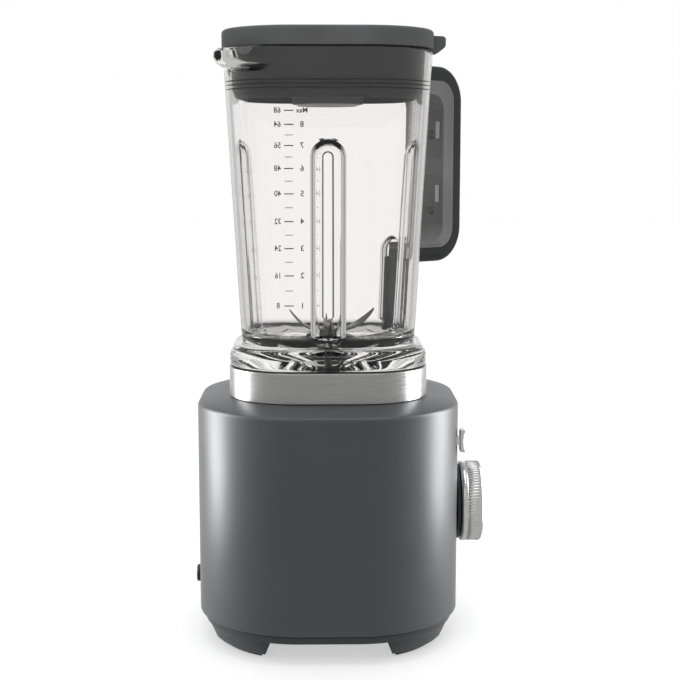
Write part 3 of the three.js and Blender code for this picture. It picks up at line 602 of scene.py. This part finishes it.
jug = {"wallFoot": 206, "rim": 398.3, "wall": 3.8, "halfLow": 58.2,
       "halfHigh": 69.3, "cornerLow": 31.5, "cornerHigh": 46, "flange": 66.6, "flangeCorner": 44}
flute = {"groove": 8.4, "bump": 12.2, "low": 207, "dome": 329, "spread": 2.5, "steps": 10}
cornerFlute = {"groove": 7.2, "bump": 10.6, "low": 201, "dome": 262.5, "spread": 2, "steps": 12}
spout = {"halfWidth": 25, "drop": 1.3}
spoutOutside = [(383.2, 0), (384.4, 8.5), (385.4, 14), (387.5, 18.4), (391, 21.3), (394, 20.8), (396.5, 18.6),
                (398.3, 17.6)]
spoutInside = [(386.3, 0), (387.6, 8), (389, 13), (391.5, 16.8), (394.5, 17.6), (398.3, 16.0)]


def between(table, z):
    # straight-line value of a short table at a height, held at its ends
    for (z0, value0), (z1, value1) in zip(table, table[1:]):
        if z0 <= z <= z1:
            return value0 + (value1 - value0) * (z - z0) / (z1 - z0)
    return table[0][1] if z < table[0][0] else table[-1][1]


def jugHalf(z):
    return between([(jug["wallFoot"], jug["halfLow"]), (jug["rim"], jug["halfHigh"])], z)


def jugCorner(z):
    return between([(jug["wallFoot"], jug["cornerLow"]), (jug["rim"], jug["cornerHigh"])], z)


def jugReach(z):
    return jugHalf(z) * math.sqrt(2) - jugCorner(z) * (math.sqrt(2) - 1)


def fluteRadius(shape, side, z):
    # the full radius along the flute, shrinking over its round end
    radius = shape[side]
    if z < shape["low"] or z > shape["dome"] + radius:
        return 0
    over = max(0, z - shape["dome"])
    return math.sqrt(max(0, radius * radius - over * over))


def fluteLine(radius, sink, spread, steps, start):
    # (across, inward) points of a flute's section from its middle (start 0) or its far side (start -1)
    reach = math.acos(sink / radius) if radius > sink + 0.02 else 0
    line = []
    for step in range(start * steps, steps + 1):
        part = step / steps
        across = max(radius * math.sin(reach * abs(part)), spread * abs(part))
        inward = max(0, radius * math.cos(reach * part) - sink) if reach else 0
        line.append((math.copysign(across, part), inward))
    return line


def jugSection(bm, z, half, corner, walls=0, handleSide=0, sink=0, reachOut=0):
    # one loop: each wall with its flute, each corner an arc, the spout corner drawn out
    points = []
    outward, sideways = Vector((1, 1)).normalized(), Vector((-1, 1)).normalized()
    for quarter in range(4):
        turn = Matrix.Rotation(math.pi / 2 * quarter, 2)
        line = fluteLine(walls, sink, flute["spread"], flute["steps"], 0)
        wallEnd = line[-1][0]
        firstWall = [Vector((half - inward, across)) for across, inward in line]
        straight = [wallEnd + (half - corner - wallEnd) * step / 4 for step in (1, 2, 3)]
        firstWall += [Vector((half, across)) for across in straight]
        inCorner = handleSide if quarter == 3 else 0
        cornerLine = fluteLine(inCorner, sink, cornerFlute["spread"], cornerFlute["steps"] // 2, -1)
        edgeAngle = math.asin(min(0.95, cornerLine[-1][0] / corner))
        centre = Vector((half - corner, half - corner))
        arcTurns = [(math.pi / 4 - edgeAngle) * step / 12 for step in range(12)]
        firstArc = [centre + corner * Vector((math.cos(turnBy), math.sin(turnBy))) for turnBy in arcTurns]
        tip = half * math.sqrt(2) - corner * (math.sqrt(2) - 1)
        middle = []
        for across, inward in cornerLine:
            sag = corner - math.sqrt(corner * corner - across * across)
            middle.append(outward * (tip - sag - inward) + sideways * across)
        mirrored = [Vector((point.y, point.x)) for point in reversed(firstWall[1:] + firstArc)]
        ring = firstWall + firstArc + middle + mirrored
        if reachOut and quarter == 1:
            for point in ring:
                across = point.dot(sideways)
                if point.dot(outward) > 0.6 * half and abs(across) < spout["halfWidth"]:
                    share = math.cos(math.pi / 2 * across / spout["halfWidth"]) ** 2
                    point += outward * (reachOut * share)
        points += [turn @ point for point in ring]
    verts = []
    for point in points:
        drop = 0
        if reachOut and z > 396:
            alongSpout = sideways.dot(point) - jugReach(z) + 6
            drop = spout["drop"] * max(0, min(1, alongSpout / (reachOut + 6)))
        verts.append(bm.verts.new((point.x, point.y, z - drop)))
    return [bm.edges.new(pair) for pair in zip(verts, verts[1:] + verts[:1])]


def climb(levels, side, lip):
    # heights of the wall's loops: plain levels, close ones over the flutes' round ends, and the spout's own
    heights = set(levels)
    for shape in (flute, cornerFlute):
        heights |= {shape["dome"] + shape[side] * math.sin(math.pi / 16 * step) for step in range(9)}
        heights.add(shape["dome"] + shape[side] + 0.3)
    for (low, _), (high, _) in zip(lip, lip[1:]):
        heights |= {low, (low + high) / 2}
    return sorted(heights)


def facet(bm, loop, count, depth):
    # shallow rays pressed into a loop of the floor
    for vert in {vert for edge in loop for vert in edge.verts}:
        ray = math.cos(count * math.atan2(vert.co.y, vert.co.x))
        vert.co.z -= depth * abs(ray)


def buildJug():
    wall = jug["wall"]
    flange, flangeCorner = jug["flange"], jug["flangeCorner"]
    bm = bmesh.new()
    foot = [(190.6, flange - 0.7, flangeCorner - 0.7), (190.85, flange - 0.2, flangeCorner - 0.2),
            (191.3, flange, flangeCorner), (197.6, flange, flangeCorner), (199.2, flange - 0.5, 43.4),
            (200.6, flange - 1.4, 42.4), (201.9, 63.4, 39.5), (202.7, 61.2, 36), (203.8, 59.2, 32.8),
            (jug["wallFoot"], jug["halfLow"], jug["cornerLow"])]
    outerHeights = climb([207.4, 209, 213, 225, 240, 255, 280, 300, 316, 350, 365, 380], "groove", spoutOutside)
    loops = [
        jugSection(bm, z, half, corner, 0, fluteRadius(cornerFlute, "groove", z)) for z, half, corner in foot]
    for z in outerHeights:
        loops.append(jugSection(
            bm, z, jugHalf(z), jugCorner(z), fluteRadius(flute, "groove", z),
            fluteRadius(cornerFlute, "groove", z), 0, between(spoutOutside, z)))
    rim = jug["rim"]
    for inset in (0.7, wall - 0.7):
        lip = between(spoutOutside, rim) - inset * 0.4
        loops.append(jugSection(bm, rim, jugHalf(rim) - inset, jugCorner(rim) - inset, reachOut=lip))
    innerHeights = climb([212.2, 216, 228, 245, 285, 305, 318, 350, 365, 378], "bump", spoutInside)
    for z in reversed(innerHeights):
        loops.append(jugSection(
            bm, z, jugHalf(z) - wall, jugCorner(z) - wall, fluteRadius(flute, "bump", z),
            fluteRadius(cornerFlute, "bump", z), wall, between(spoutInside, z)))
    floor = [(209.4, 52.6, 26.5), (207.6, 50.2, 24.6), (206.2, 47, 23.5), (204.4, 43, 25), (201, 31, 24),
             (198.2, 22.5, 20), (196.9, 19, 19), (196.9, 12.6, 12.6), (196.6, 12.3, 12.3), (192.6, 12.3, 12.3),
             (192.6, 27.5, 27.5), (191.6, 28.5, 28.5), (190.6, 30, 30)]
    for z, half, corner in floor:
        loop = jugSection(bm, z, half, corner)
        if 197 < z < 207:
            facet(bm, loop, 8, 2.6 if z > 200 else 0.8)
        loops.append(loop)
    joinLoops(bm, loops, True)
    finish("clear_jug", bm, "jug", ["clear jug"], "clear_plastic", "jug_body", sharp=48)


buildJug()
print("jug made")

handle = {"outer": 129.5, "top": 394, "bottom": 252.5, "band": 10, "arm": 20, "foot": 15, "innerFace": 108,
          "root": 60, "crossing": (0, 4, 8, 11.2, 13), "round": 25, "roundSeam": 15, "roundInner": 12,
          "edge": 3.2, "seam": 0.35, "overlapGap": 0.45, "armEnd": 72, "taperFrom": 88, "taper": 0.55,
          "tray": 38, "trayApart": 5, "screws": (345, 290), "slots": (348.5, 302), "slotAside": -6.3,
          "slot": (1.2, 3.4, 12.5)}
handleTurn = facing(0, 0, 0, -45, "Z")


def handleHoop(bm, outer, inner, roundOuter, roundInner):
    # a bracket seen from the side: two arms and a grip, with rounded bends
    (outX, outTop, outLow), (inX, inTop, inLow) = outer, inner
    root, wide = handle["root"], handle["crossing"][-1]
    outline = [(root, outTop), (outX, outTop), (outX, outLow), (root, outLow),
               (root, inLow), (inX, inLow), (inX, inTop), (root, inTop)]
    slab(bm, outline, -wide, wide, upright)
    bends = [(outX, outTop, roundOuter), (outX, outLow, roundOuter), (inX, inLow, roundInner),
             (inX, inTop, roundInner)]
    for x, z, radius in bends:
        edges = [edge for edge in bm.edges if all(
            abs(vert.co.x - x) < 0.05 and abs(vert.co.z - z) < 0.05 for vert in edge.verts)]
        roundOff(bm, edges, radius, 14)
    faceOutwards(bm)


def fitToJug(bm):
    # the arms are cut short and their ends follow the jug's round corner; the lower one narrows to the bar
    start, end = handle["taperFrom"], handle["root"]
    for across in handle["crossing"][:-1]:
        for side in (-1, 1):
            cutAlong(bm, (0, side * across, 0), (0, 1, 0))
    for vert in bm.verts:
        if vert.co.x < start and vert.co.z < handle["bottom"] + handle["foot"] + 2:
            vert.co.y *= 1 - handle["taper"] * (start - vert.co.x) / (start - end)
        if vert.co.x < handle["armEnd"]:
            corner = jugCorner(vert.co.z)
            sag = corner - math.sqrt(corner * corner - vert.co.y ** 2)
            vert.co.x = jugReach(vert.co.z) - sag + handle["overlapGap"]


def buildHandle():
    outer, top, low, band = handle["outer"], handle["top"], handle["bottom"], handle["band"]
    wide, roundSeam, seam = handle["crossing"][-1], handle["roundSeam"], handle["seam"]
    bm = bmesh.new()
    handleHoop(bm, (outer, top, low), (outer - band, top - band, low + band), handle["round"], roundSeam)
    inX, inTop, inLow = outer - band + 0.5, top - band + 0.5, low + band - 0.5

    def isOutline(edge):
        # on the hoop's outside, where the hand closes round it
        ends = [vert.co for vert in edge.verts]
        reach = (ends[0] + ends[1]) / 2
        hidden = reach.x < inX and inLow < reach.z < inTop
        return reach.x > 62 and not hidden and all(abs(abs(end.y) - wide) < 0.01 for end in ends)

    steep = math.radians(60)
    sides = [edge for edge in bm.edges
             if edge.is_manifold and edge.calc_face_angle(0) > steep and isOutline(edge)]
    roundOff(bm, sides, handle["edge"], 5)
    fitToJug(bm)
    finish("handle_rim", bm, "jug", ["graphite dark"], "dark_grey", "handle_grip", turn=handleTurn)
    bm = bmesh.new()
    inTop, inLow = top - handle["arm"], low + handle["foot"]
    handleHoop(
        bm, (outer - band - seam, top - band - seam, low + band + seam), (handle["innerFace"], inTop, inLow),
        roundSeam - seam, handle["roundInner"])
    panels = [face for face in bm.faces if abs(abs(face.calc_center_median().y) - wide) < 0.01]
    bmesh.ops.inset_individual(bm, faces=panels, thickness=0.7, depth=0, use_even_offset=True)
    bmesh.ops.inset_individual(bm, faces=panels, thickness=0.5, depth=-0.35, use_even_offset=True)
    fitToJug(bm)
    for side in (1, -1):
        cutInnerPanel(bm, (inTop + inLow) / 2 + side * (handle["tray"] / 2 + handle["trayApart"]))
    finish("handle_inner", bm, "jug", ["handle grey"], "dark_grey", "handle_cover", turn=handleTurn)
    for number in (1, 2):
        buildHandleScrew(number, handle["screws"][number - 1], handle["slots"][number - 1])
    buildSpine()


def cutInnerPanel(bm, middle):
    # a long shallow tray in the face towards the jug
    face, half = handle["innerFace"], handle["tray"] / 2

    def onFace(item):
        return abs(item.calc_center_median().x - face) < 0.05

    for z in (middle - half, middle + half):
        cutAlong(bm, (0, 0, z), (0, 0, 1), [item for item in bm.faces if onFace(item)])
    tray = [item for item in bm.faces if onFace(item) and abs(item.calc_center_median().y) < 11.3
            and abs(item.calc_center_median().z - middle) < half]
    faceOutwards(bm)
    sink(bm, tray, 0.9, 0.4)
    sink(bm, tray, 0.6, 0.8)


def buildHandleScrew(number, z, slotMiddle):
    # a screw in its tray, and beside it a pale block in the slot: painted light, standing for the white
    # backdrop seen through the open slot
    node = f"handle_screw_{number}"
    bm = bmesh.new()
    low = handle["innerFace"] + 0.9
    lathe(bm, [(0, low), (1.2, low), (1.4, low - 0.35), (2.6, low - 0.35), (3.2, low + 0.3), (3.2, low + 3.4),
               (0, low + 3.4)], 32)
    place = handleTurn @ facing(0, 0, z, 90, "Y")
    finish(f"{node}_head", bm, "jug", ["blade steel"], "steel", node, turn=place)
    # painted light: a pale solid block where the open slot would show the bright backdrop through it
    bm = bmesh.new()
    place = Matrix.Translation((handle["innerFace"] + 0.9, handle["slotAside"], slotMiddle))
    block(bm, place, *handle["slot"])
    soften(bm, 0.5)
    finish(f"handle_slot_painted_light_{number}", bm, "jug", ["painted see-through light"], "dark_grey", turn=handleTurn)


def buildSpine():
    # the dark bar in the corner groove below the handle
    low, high = span("handle_spine")
    radius = cornerFlute["groove"] + 0.08  # moulded into its groove
    base, top, foot = 201.2, high.z + 5, jug["wallFoot"]
    bm = bmesh.new()
    lean = (jugReach(top) - jugReach(foot)) / (top - foot)
    lathe(bm, [(0, base), (radius - 1, base), (radius, base + 1), (radius, top - 0.3), (radius - 0.4, top),
               (0, top)], 40)
    for vert in bm.verts:
        vert.co.x += jugReach(foot) + lean * (vert.co.z - foot)
    finish("handle_bar", bm, "jug", ["graphite dark"], "dark_grey", "handle_spine", turn=handleTurn)


buildHandle()
print("handle made")

blade = {"steps": 22, "thick": 1.5, "hub": 12}


def bladeArm(bm, turn, reach, wide, tip, sweep, roll, height, z):
    # a strip from the hub to its point; height and sweep bend it, and its edges are ground thin
    made = bmesh.ops.create_grid(bm, x_segments=blade["steps"], y_segments=6, size=0.5)
    for vert in made["verts"]:
        along, across = vert.co.x + 0.5, vert.co.y * 2
        half = (wide + (tip - wide) * along ** 1.6) / 2
        rise = roll * across * half * max(0, along - 0.4)
        vert.co = (3 + (reach - 3) * along, across * half + sweep * along * along, z + height(along) + rise)
    faces = list({face for vert in made["verts"] for face in vert.link_faces})
    grown = bmesh.ops.solidify(bm, geom=faces, thickness=blade["thick"])["geom"]
    verts = list({item for item in grown if isinstance(item, bmesh.types.BMVert)} | set(made["verts"]))
    bmesh.ops.rotate(bm, verts=verts, cent=(0, 0, 0), matrix=Matrix.Rotation(math.radians(turn), 3, "Z"))


def buildBlades():
    lowest = span("lower_blade")[1].z - 1.6
    # each arm's turn, reach, width, width at its point, sweep and roll, then how the blade rises
    plans = {
        "lower_blade": (lowest, [(38, 30.5, 15, 3, -3, 0), (218, 30.5, 15, 3, -3, 0)],
                        lambda t: -1.6 * t * t),
        "middle_blade": (lowest + 2, [(4, 23.6, 12, 0.6, 1, 0), (184, 23.6, 12, 0.6, 1, 0)],
                         lambda t: 11 * max(0, (t - 0.48) / 0.52) ** 1.6),
        "upper_blade": (lowest + 4, [(276, 32.6, 14, 0.6, 0, 1.1), (96, 26.6, 10, 0.5, 1.5, -0.7)],
                        lambda t: 15 * t ** 2.2),
    }
    for node, (z, arms, height) in plans.items():
        bm = bmesh.new()
        hub = blade["hub"]
        disc = [(4.3, 0), (hub - 0.3, 0), (hub, 0.3), (hub, 1.3), (hub - 0.3, 1.6), (4.3, 1.6)]
        lathe(bm, [(radius, z + rise) for radius, rise in disc], 64, closed=True)
        for turn, reach, wide, tip, sweep, roll in arms:
            bladeArm(bm, turn, reach, wide, tip, sweep, roll, height, z)
        finish(f"{node}_ground", bm, "blades", ["blade steel"], "steel", node)
    low, high = span("blade_nut")
    bm = bmesh.new()
    base = low.z
    lathe(bm, [(0, base), (6, base), (6, base + 3), (5.2, base + 3.9), (3.6, base + 5), (2, high.z - 0.2),
               (0, high.z)], 6)
    soften(bm, 0.4, 20, 3)
    finish("blade_acorn_nut", bm, "blades", ["bearing steel"], "steel", "blade_nut")
    low, high = span("bearing_housing")
    bm = bmesh.new()
    lathe(bm, [(8.3, low.z), (12, low.z), (12, 197.3), (15, 197.3), (15, high.z - 3.2), (14.2, high.z - 2.4),
               (12.6, high.z - 0.6), (11.8, high.z), (8.3, high.z)], 144, closed=True)
    for vert in bm.verts:
        reach = math.hypot(vert.co.x, vert.co.y)
        if reach > 14.9:
            vert.co.xy *= (reach - 0.45 + 0.4 * math.cos(36 * math.atan2(vert.co.y, vert.co.x))) / reach
    finish("blade_hub_nut", bm, "jug", ["graphite dark"], "dark_grey", "bearing_housing")


buildBlades()
print("blades made")

lid = {"half": 69.9, "corner": 47, "skin": 2.8, "edge": 2.4, "neck": 24.2, "neckBore": 21.7, "recess": 29.7,
       "recessDeep": 1.9, "seals": (373, 375.6, 378.1)}


def buildLid():
    low, high = span("lid_cover")
    half, top = lid["half"], high.z
    offset = half - lid["corner"]
    bottom = span("jug_body")[1].z + 1
    edge = lid["edge"]
    levels = [(bottom, half - 0.6), (bottom + 0.2, half - 0.2), (bottom + 0.7, half)]
    levels += arc(half - edge, top - edge, edge, 0, 90, 6)
    outer = squares(levels, offset)
    recess, bore, neck = lid["recess"], lid["neckBore"], lid["neck"]
    step = top - lid["recessDeep"]
    inside = half - lid["skin"]
    middle = [(top, recess + 0.7), (top - 0.5, recess), (step, recess), (step, bore + 0.5), (step - 0.5, bore),
              (low.z, bore), (low.z, neck - 0.4), (low.z + 0.4, neck), (top - 5.5, neck), (top - 5.5, 33),
              (top - lid["skin"], 33)]
    skirt = [(top - lid["skin"], inside), (bottom, inside)]
    bm = bmesh.new()
    shell(bm, outer + squares(middle, 0) + squares(skirt, offset), steps=28, closed=True)
    buildLidTab(bm, low.y, bottom)
    buildSpoutFlap(bm, bottom)
    finish("lid_top", bm, "lid", ["graphite plastic"], "dark_grey", "lid_cover")
    buildPlug(bottom)


def buildLidTab(bm, front, bottom):
    # the lift tab: a side outline drawn across the front edge, with its corners rounded
    tab = bmesh.new()
    side = [(-67.3, bottom - 0.3), (-74.2, bottom - 0.3), (front + 0.5, bottom + 1.8), (front, bottom + 3.2),
            (front, bottom + 7.8), (front + 1.4, bottom + 9.0), (-67.3, bottom + 9.4)]
    slab(tab, side, -20, 20, endOn)
    faceOutwards(tab)
    corners = [edge for edge in tab.edges if abs(abs(edge.verts[0].co.x) - 20) < 0.1
               and abs(abs(edge.verts[1].co.x) - 20) < 0.1 and max(v.co.y for v in edge.verts) < -70]
    roundOff(tab, corners, 2.2, 4)
    addMesh(bm, tab)
    tab.free()


def buildSpoutFlap(bm, bottom):
    # the tongue that closes the spout: a short curved apron under the lid's corner
    turn = facing(0, 0, 0, 135, "Z")
    made = bmesh.ops.create_grid(bm, x_segments=24, y_segments=6, size=0.5)
    for vert in made["verts"]:
        across, down = vert.co.x * 40, vert.co.y + 0.5
        fall = 7.4 * math.cos(math.pi / 2 * vert.co.x * 2) ** 2
        corner = lid["corner"] - 0.9
        sag = corner - math.sqrt(corner * corner - across * across)
        reach = (lid["half"] - 0.9) * math.sqrt(2) - corner * (math.sqrt(2) - 1) - sag
        vert.co = turn @ Vector((reach, across, bottom + 0.6 - fall * down))
    faces = list({face for vert in made["verts"] for face in vert.link_faces})
    bmesh.ops.recalc_face_normals(bm, faces=faces)
    bmesh.ops.solidify(bm, geom=faces, thickness=1.2)


def plugSection(z, inset):
    half = jugHalf(z) - jug["wall"] - 0.8 - inset
    return z, half, jugCorner(z) - jug["wall"] - 0.8 - inset


def buildPlug(bottom):
    low, high = span("lid_plug")
    sealLow, sealHigh = span("lid_seal")[0].z, span("lid_seal")[1].z
    bm = bmesh.new()
    outer = [(low.z, 2.6), (low.z + 0.5, 1.9), (low.z + 2.5, 0.9), (sealLow - 0.3, 0.9), (sealLow - 0.28, 2.2),
             (sealHigh + 0.3, 2.2), (sealHigh + 0.32, 0.3), (jug["rim"], 0.3)]
    outer = [plugSection(*level) for level in outer] + [(high.z, 64.3, 41)]
    inner = [(high.z, 61.4, 38.1), plugSection(jug["rim"], 4), plugSection(low.z, 4.7)]
    shell(bm, outer + inner, steps=24, closed=True)
    finish("lid_skirt", bm, "lid", ["graphite dark"], "black_plastic", "lid_plug")
    bm = bmesh.new()
    sections = [plugSection(sealLow, 0.4)]
    for z in lid["seals"]:
        sections += [plugSection(z + rise, inset) for rise, inset in (
            (-0.6, 0.4), (-0.3, -0.84), (0.3, -0.84), (0.6, 0.4))]
    sections.append(plugSection(sealHigh, 0.4))
    sections += [plugSection(sealHigh, 1.9), plugSection(sealLow, 1.9)]
    shell(bm, sections, steps=24, closed=True)
    for face in bm.faces:
        z = face.calc_center_median().z
        face.material_index = 0 if min(abs(z - rib) for rib in lid["seals"]) < 0.5 else 1
    finish("lid_gasket", bm, "lid", ["black rubber", "graphite dark"], "black_rubber", "lid_seal")


buildLid()

cap = {"radius": 21.3, "wall": 2, "flange": 29.4}


def buildCap():
    low, high = span("ingredient_cap")
    wide, wall, flange, top = cap["radius"], cap["wall"], cap["flange"], high.z
    seat = span("lid_cover")[1].z - lid["recessDeep"] + 0.3
    bm = bmesh.new()
    inside = wide - wall
    lathe(bm, [(0, top - 2), (inside, top - 2), (inside, low.z), (wide - 0.3, low.z), (wide, low.z + 0.4),
               (wide, seat), (flange - 0.4, seat), (flange, seat + 0.4), (flange, top - 1.2),
               (flange - 0.35, top - 0.4), (flange - 1.3, top), (flange - 5, top), (flange - 6, top - 0.35),
               (0, top - 0.35)], 128)
    finish("cap_stopper", bm, "cap", ["graphite plastic"], "dark_grey", "ingredient_cap")
    low, high = span("cap_rim")
    bm = bmesh.new()
    ring = [(inside, low.z), (wide - 0.5, low.z), (wide, low.z + 0.5), (wide, high.z), (inside, high.z)]
    lathe(bm, ring, 128, closed=True)
    finish("cap_clear_rim", bm, "cap", ["clear rim"], "clear_plastic", "cap_rim")


buildCap()
print("lid and cap made")

scale = {"heights": [220.1, 242.2, 262.2, 281.9, 302.1, 320.5, 337.1, 352.4, 362.5],
         "ounces": "8 16 24 32 40 48 56 64 68".split(), "cups": "1 2 3 4 5 6 7 8 Max".split(),
         "size": 5.9, "proud": 0.12, "deep": 0.1, "ounceAt": 37.5, "cupAt": 18.3, "tickFrom": 24.5,
         "tickTo": 32.1}


def wallPlace(across, z, front):
    # a flat place on the outside of a wall, which leans out as it rises
    lean = math.atan((jug["halfHigh"] - jug["halfLow"]) / (jug["rim"] - jug["wallFoot"]))
    reach = jugHalf(z) + scale["proud"]
    out = Matrix.Translation((reach, across, z)) @ Matrix.Rotation(lean, 4, "Y") @ endOn
    return Matrix.Rotation(-math.pi / 2, 4, "Z") @ out if front else out


def printWords(bm, words, size, place):
    curve = bpy.data.curves.new("mark", "FONT")
    curve.body, curve.size, curve.extrude, curve.resolution_u = words, size, scale["deep"] / 2, 3
    curve.align_x, curve.align_y, curve.offset = "CENTER", "CENTER", 0.09
    holder = bpy.data.objects.new("mark", curve)
    shown.link(holder)
    bpy.context.view_layer.update()
    flat = bpy.data.meshes.new_from_object(holder.evaluated_get(bpy.context.evaluated_depsgraph_get()))
    flat.transform(place)
    bm.from_mesh(flat)
    bpy.data.objects.remove(holder)
    bpy.data.meshes.remove(flat)


def printTick(bm, start, stop, z, thick, front=False):
    block(bm, wallPlace((start + stop) / 2, z, front), abs(stop - start), thick, scale["deep"])


def buildScale():
    bm = bmesh.new()
    heights = scale["heights"]
    for z, ounces, cups in zip(heights, scale["ounces"], scale["cups"]):
        printWords(bm, ounces, scale["size"], wallPlace(scale["ounceAt"], z, False))
        tall = scale["size"] * (0.86 if cups == "Max" else 1)
        printWords(bm, cups, tall, wallPlace(scale["cupAt"], z, False))
        printTick(bm, scale["tickFrom"], scale["tickTo"], z, 0.8)
        printTick(bm, 42, 46.5, z, 0.45, True)
        printWords(bm, cups if cups != "Max" else "", 4.2, wallPlace(38, z, True))
    for below, above in zip(heights[:-2], heights[1:-1]):
        printTick(bm, scale["tickFrom"] + 0.6, scale["tickTo"] - 0.6, (below + above) / 2, 0.5)
        for part in (0.25, 0.5, 0.75):
            printTick(bm, 43, 45.5, below + (above - below) * part, 0.35, True)
    finish("printed_scale", bm, "jug", ["print"], "dark_grey", sharp=30)


buildScale()
print("scale printed")

keptFinishes = {
    "cast aluminium": "upper_bracket lower_bracket drive_coupling",
    "motor laminations": "motor_stator motor_armature",
    "copper winding": "field_coil_left field_coil_right",
    "bearing steel": "upper_bearing lower_bearing upper_spindle_bearing lower_spindle_bearing motor_shaft"
                     " blade_spindle dial_shaft retaining_nut bottom_screw_1 bottom_screw_2 bottom_screw_3"
                     " bottom_screw_4",
    "carbon": "carbon_brush_left carbon_brush_right",
    "circuit board": "control_board",
    "black rubber": "motor_cushion shaft_seal",
    "black plastic": "rotary_switch start_microswitch pulse_microswitch cooling_fan jug_coupler",
    "slate plastic": "jug_seat",
}
for coat, kept in keptFinishes.items():
    for node in kept.split():
        for place in nodes[node].material_slots:
            place.material = finishes[coat]

studio = {"ahead": 1.0, "around": 0.52, "aheadSpread": (0.8, 0.96), "floorGlow": 0.5, "floorHalf": 6,
          "floorDrop": 0.0005, "backdropRadius": 5.5}
# each light's place, what it points at, its width, height and power
lights = {"strip -1": ((0.14, -0.82, 0.25), (0, 0, 0.15), 0.36, 1.0, 14),
          "strip 1": ((0.14, 0.82, 0.25), (0, 0, 0.15), 0.36, 1.0, 14),
          "overhead": ((-0.1, 0, 1.5), (0, 0, 0), 1.2, 1.2, 5),
          "front fill": ((-1.6, 0.5, 1.2), (0, 0, 0.2), 1.0, 1.0, 1)}
view = {"lens": 71.33, "place": (-0.930, 0.0055, 0.3319), "tiltDown": 7.913, "turn": -0.015}


def stagePiece(name, bm, coat, z=0):
    # the eye sees it, but it neither lights the blender nor shows in its gloss
    mesh = bpy.data.meshes.new(name)
    bm.to_mesh(mesh)
    bm.free()
    mesh.materials.append(coat.material)
    piece = bpy.data.objects.new(name, mesh)
    piece.location.z = z
    shown.link(piece)
    for kind in ("diffuse", "glossy", "transmission", "shadow"):
        setattr(piece, f"visible_{kind}", False)
    piece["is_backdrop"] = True


def layFloor():
    bm = bmesh.new()
    bmesh.ops.create_grid(bm, x_segments=1, y_segments=1, size=studio["floorHalf"])
    glow = studio["floorGlow"]
    coat = Coat("floor", Specular_IOR_Level=0.2, Emission_Color=(1, 1, 1, 1), Emission_Strength=glow)
    coat.give("Base Color", coat.blend(coat.noise(200, 2), (0.9, 0.9, 0.9), (0.93, 0.93, 0.93)))
    coat.give("Roughness", coat.noise(120, 2) * 0.1 + 0.55)
    stagePiece("floor", bm, coat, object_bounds()[0].z - studio["floorDrop"])


def hangBackdrop():
    bm = bmesh.new()
    bmesh.ops.create_uvsphere(bm, u_segments=48, v_segments=24, radius=studio["backdropRadius"])
    coat = Coat("backdrop", Specular_IOR_Level=0.0, Roughness=1.0, Base_Color=(0, 0, 0, 1),
                Emission_Strength=1.0)
    coat.give("Emission Color", coat.blend(coat.noise(900, 1), (1, 1, 1), (0.995, 0.995, 0.995)))
    stagePiece("backdrop", bm, coat)


def lightWorld():
    # a soft white room, brightest behind the blender
    world = bpy.data.worlds.new("room")
    bpy.context.scene.world = world
    world.use_nodes = True
    graph = Graph(world.node_tree)
    towards = graph.node("ShaderNodeTexCoord", out="Generated")
    aim = graph.node(
        "ShaderNodeVectorMath", {"operation": "DOT_PRODUCT"}, {0: towards, 1: (1, 0, 0)}, "Value")
    low, high = studio["aheadSpread"]
    glow = graph.node("ShaderNodeMapRange", {"interpolation_type": "SMOOTHSTEP"}, {
        "Value": aim, "From Min": low, "From Max": high, "To Min": studio["around"],
        "To Max": studio["ahead"]})
    background = graph.tree.nodes["Background"]
    graph.tree.links.new(glow.socket, background.inputs["Color"])
    background.inputs["Strength"].default_value = 1.0


def softLight(name, place, target, wide, tall, power, onto):
    data = bpy.data.lights.new(name, "AREA")
    data.shape, data.size, data.size_y, data.energy = "RECTANGLE", wide, tall, power
    light = bpy.data.objects.new(name, data)
    if onto:
        light.light_linking.receiver_collection = onto
    light.location = place
    light.rotation_euler = (Vector(target) - Vector(place)).to_track_quat("-Z", "Y").to_euler()
    light.visible_camera = light.visible_transmission = False
    shown.link(light)


def setCamera():
    data = bpy.data.cameras.new("camera")
    data.lens, data.sensor_width = view["lens"], 36
    camera = bpy.data.objects.new("camera", data)
    away, aside, tall = view["place"]
    camera.location = (axle.x + away, axle.y + aside, tall)
    camera.rotation_euler = (math.radians(90 - view["tiltDown"]), 0, math.radians(-90) + view["turn"])
    shown.link(camera)
    bpy.context.scene.camera = camera


layFloor()
hangBackdrop()
lightWorld()
painted = bpy.data.collections.new("painted and plated")  # the side strips leave the clear jug alone
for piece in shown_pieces():
    if set(body_of(piece)) & {"base", "dial", "start_paddle", "pulse_paddle"}:
        painted.objects.link(piece)
for name, values in lights.items():
    softLight(name, *values, painted if "strip" in name else None)
setCamera()
bpy.context.scene.view_settings.view_transform = "Standard"
print("studio set")
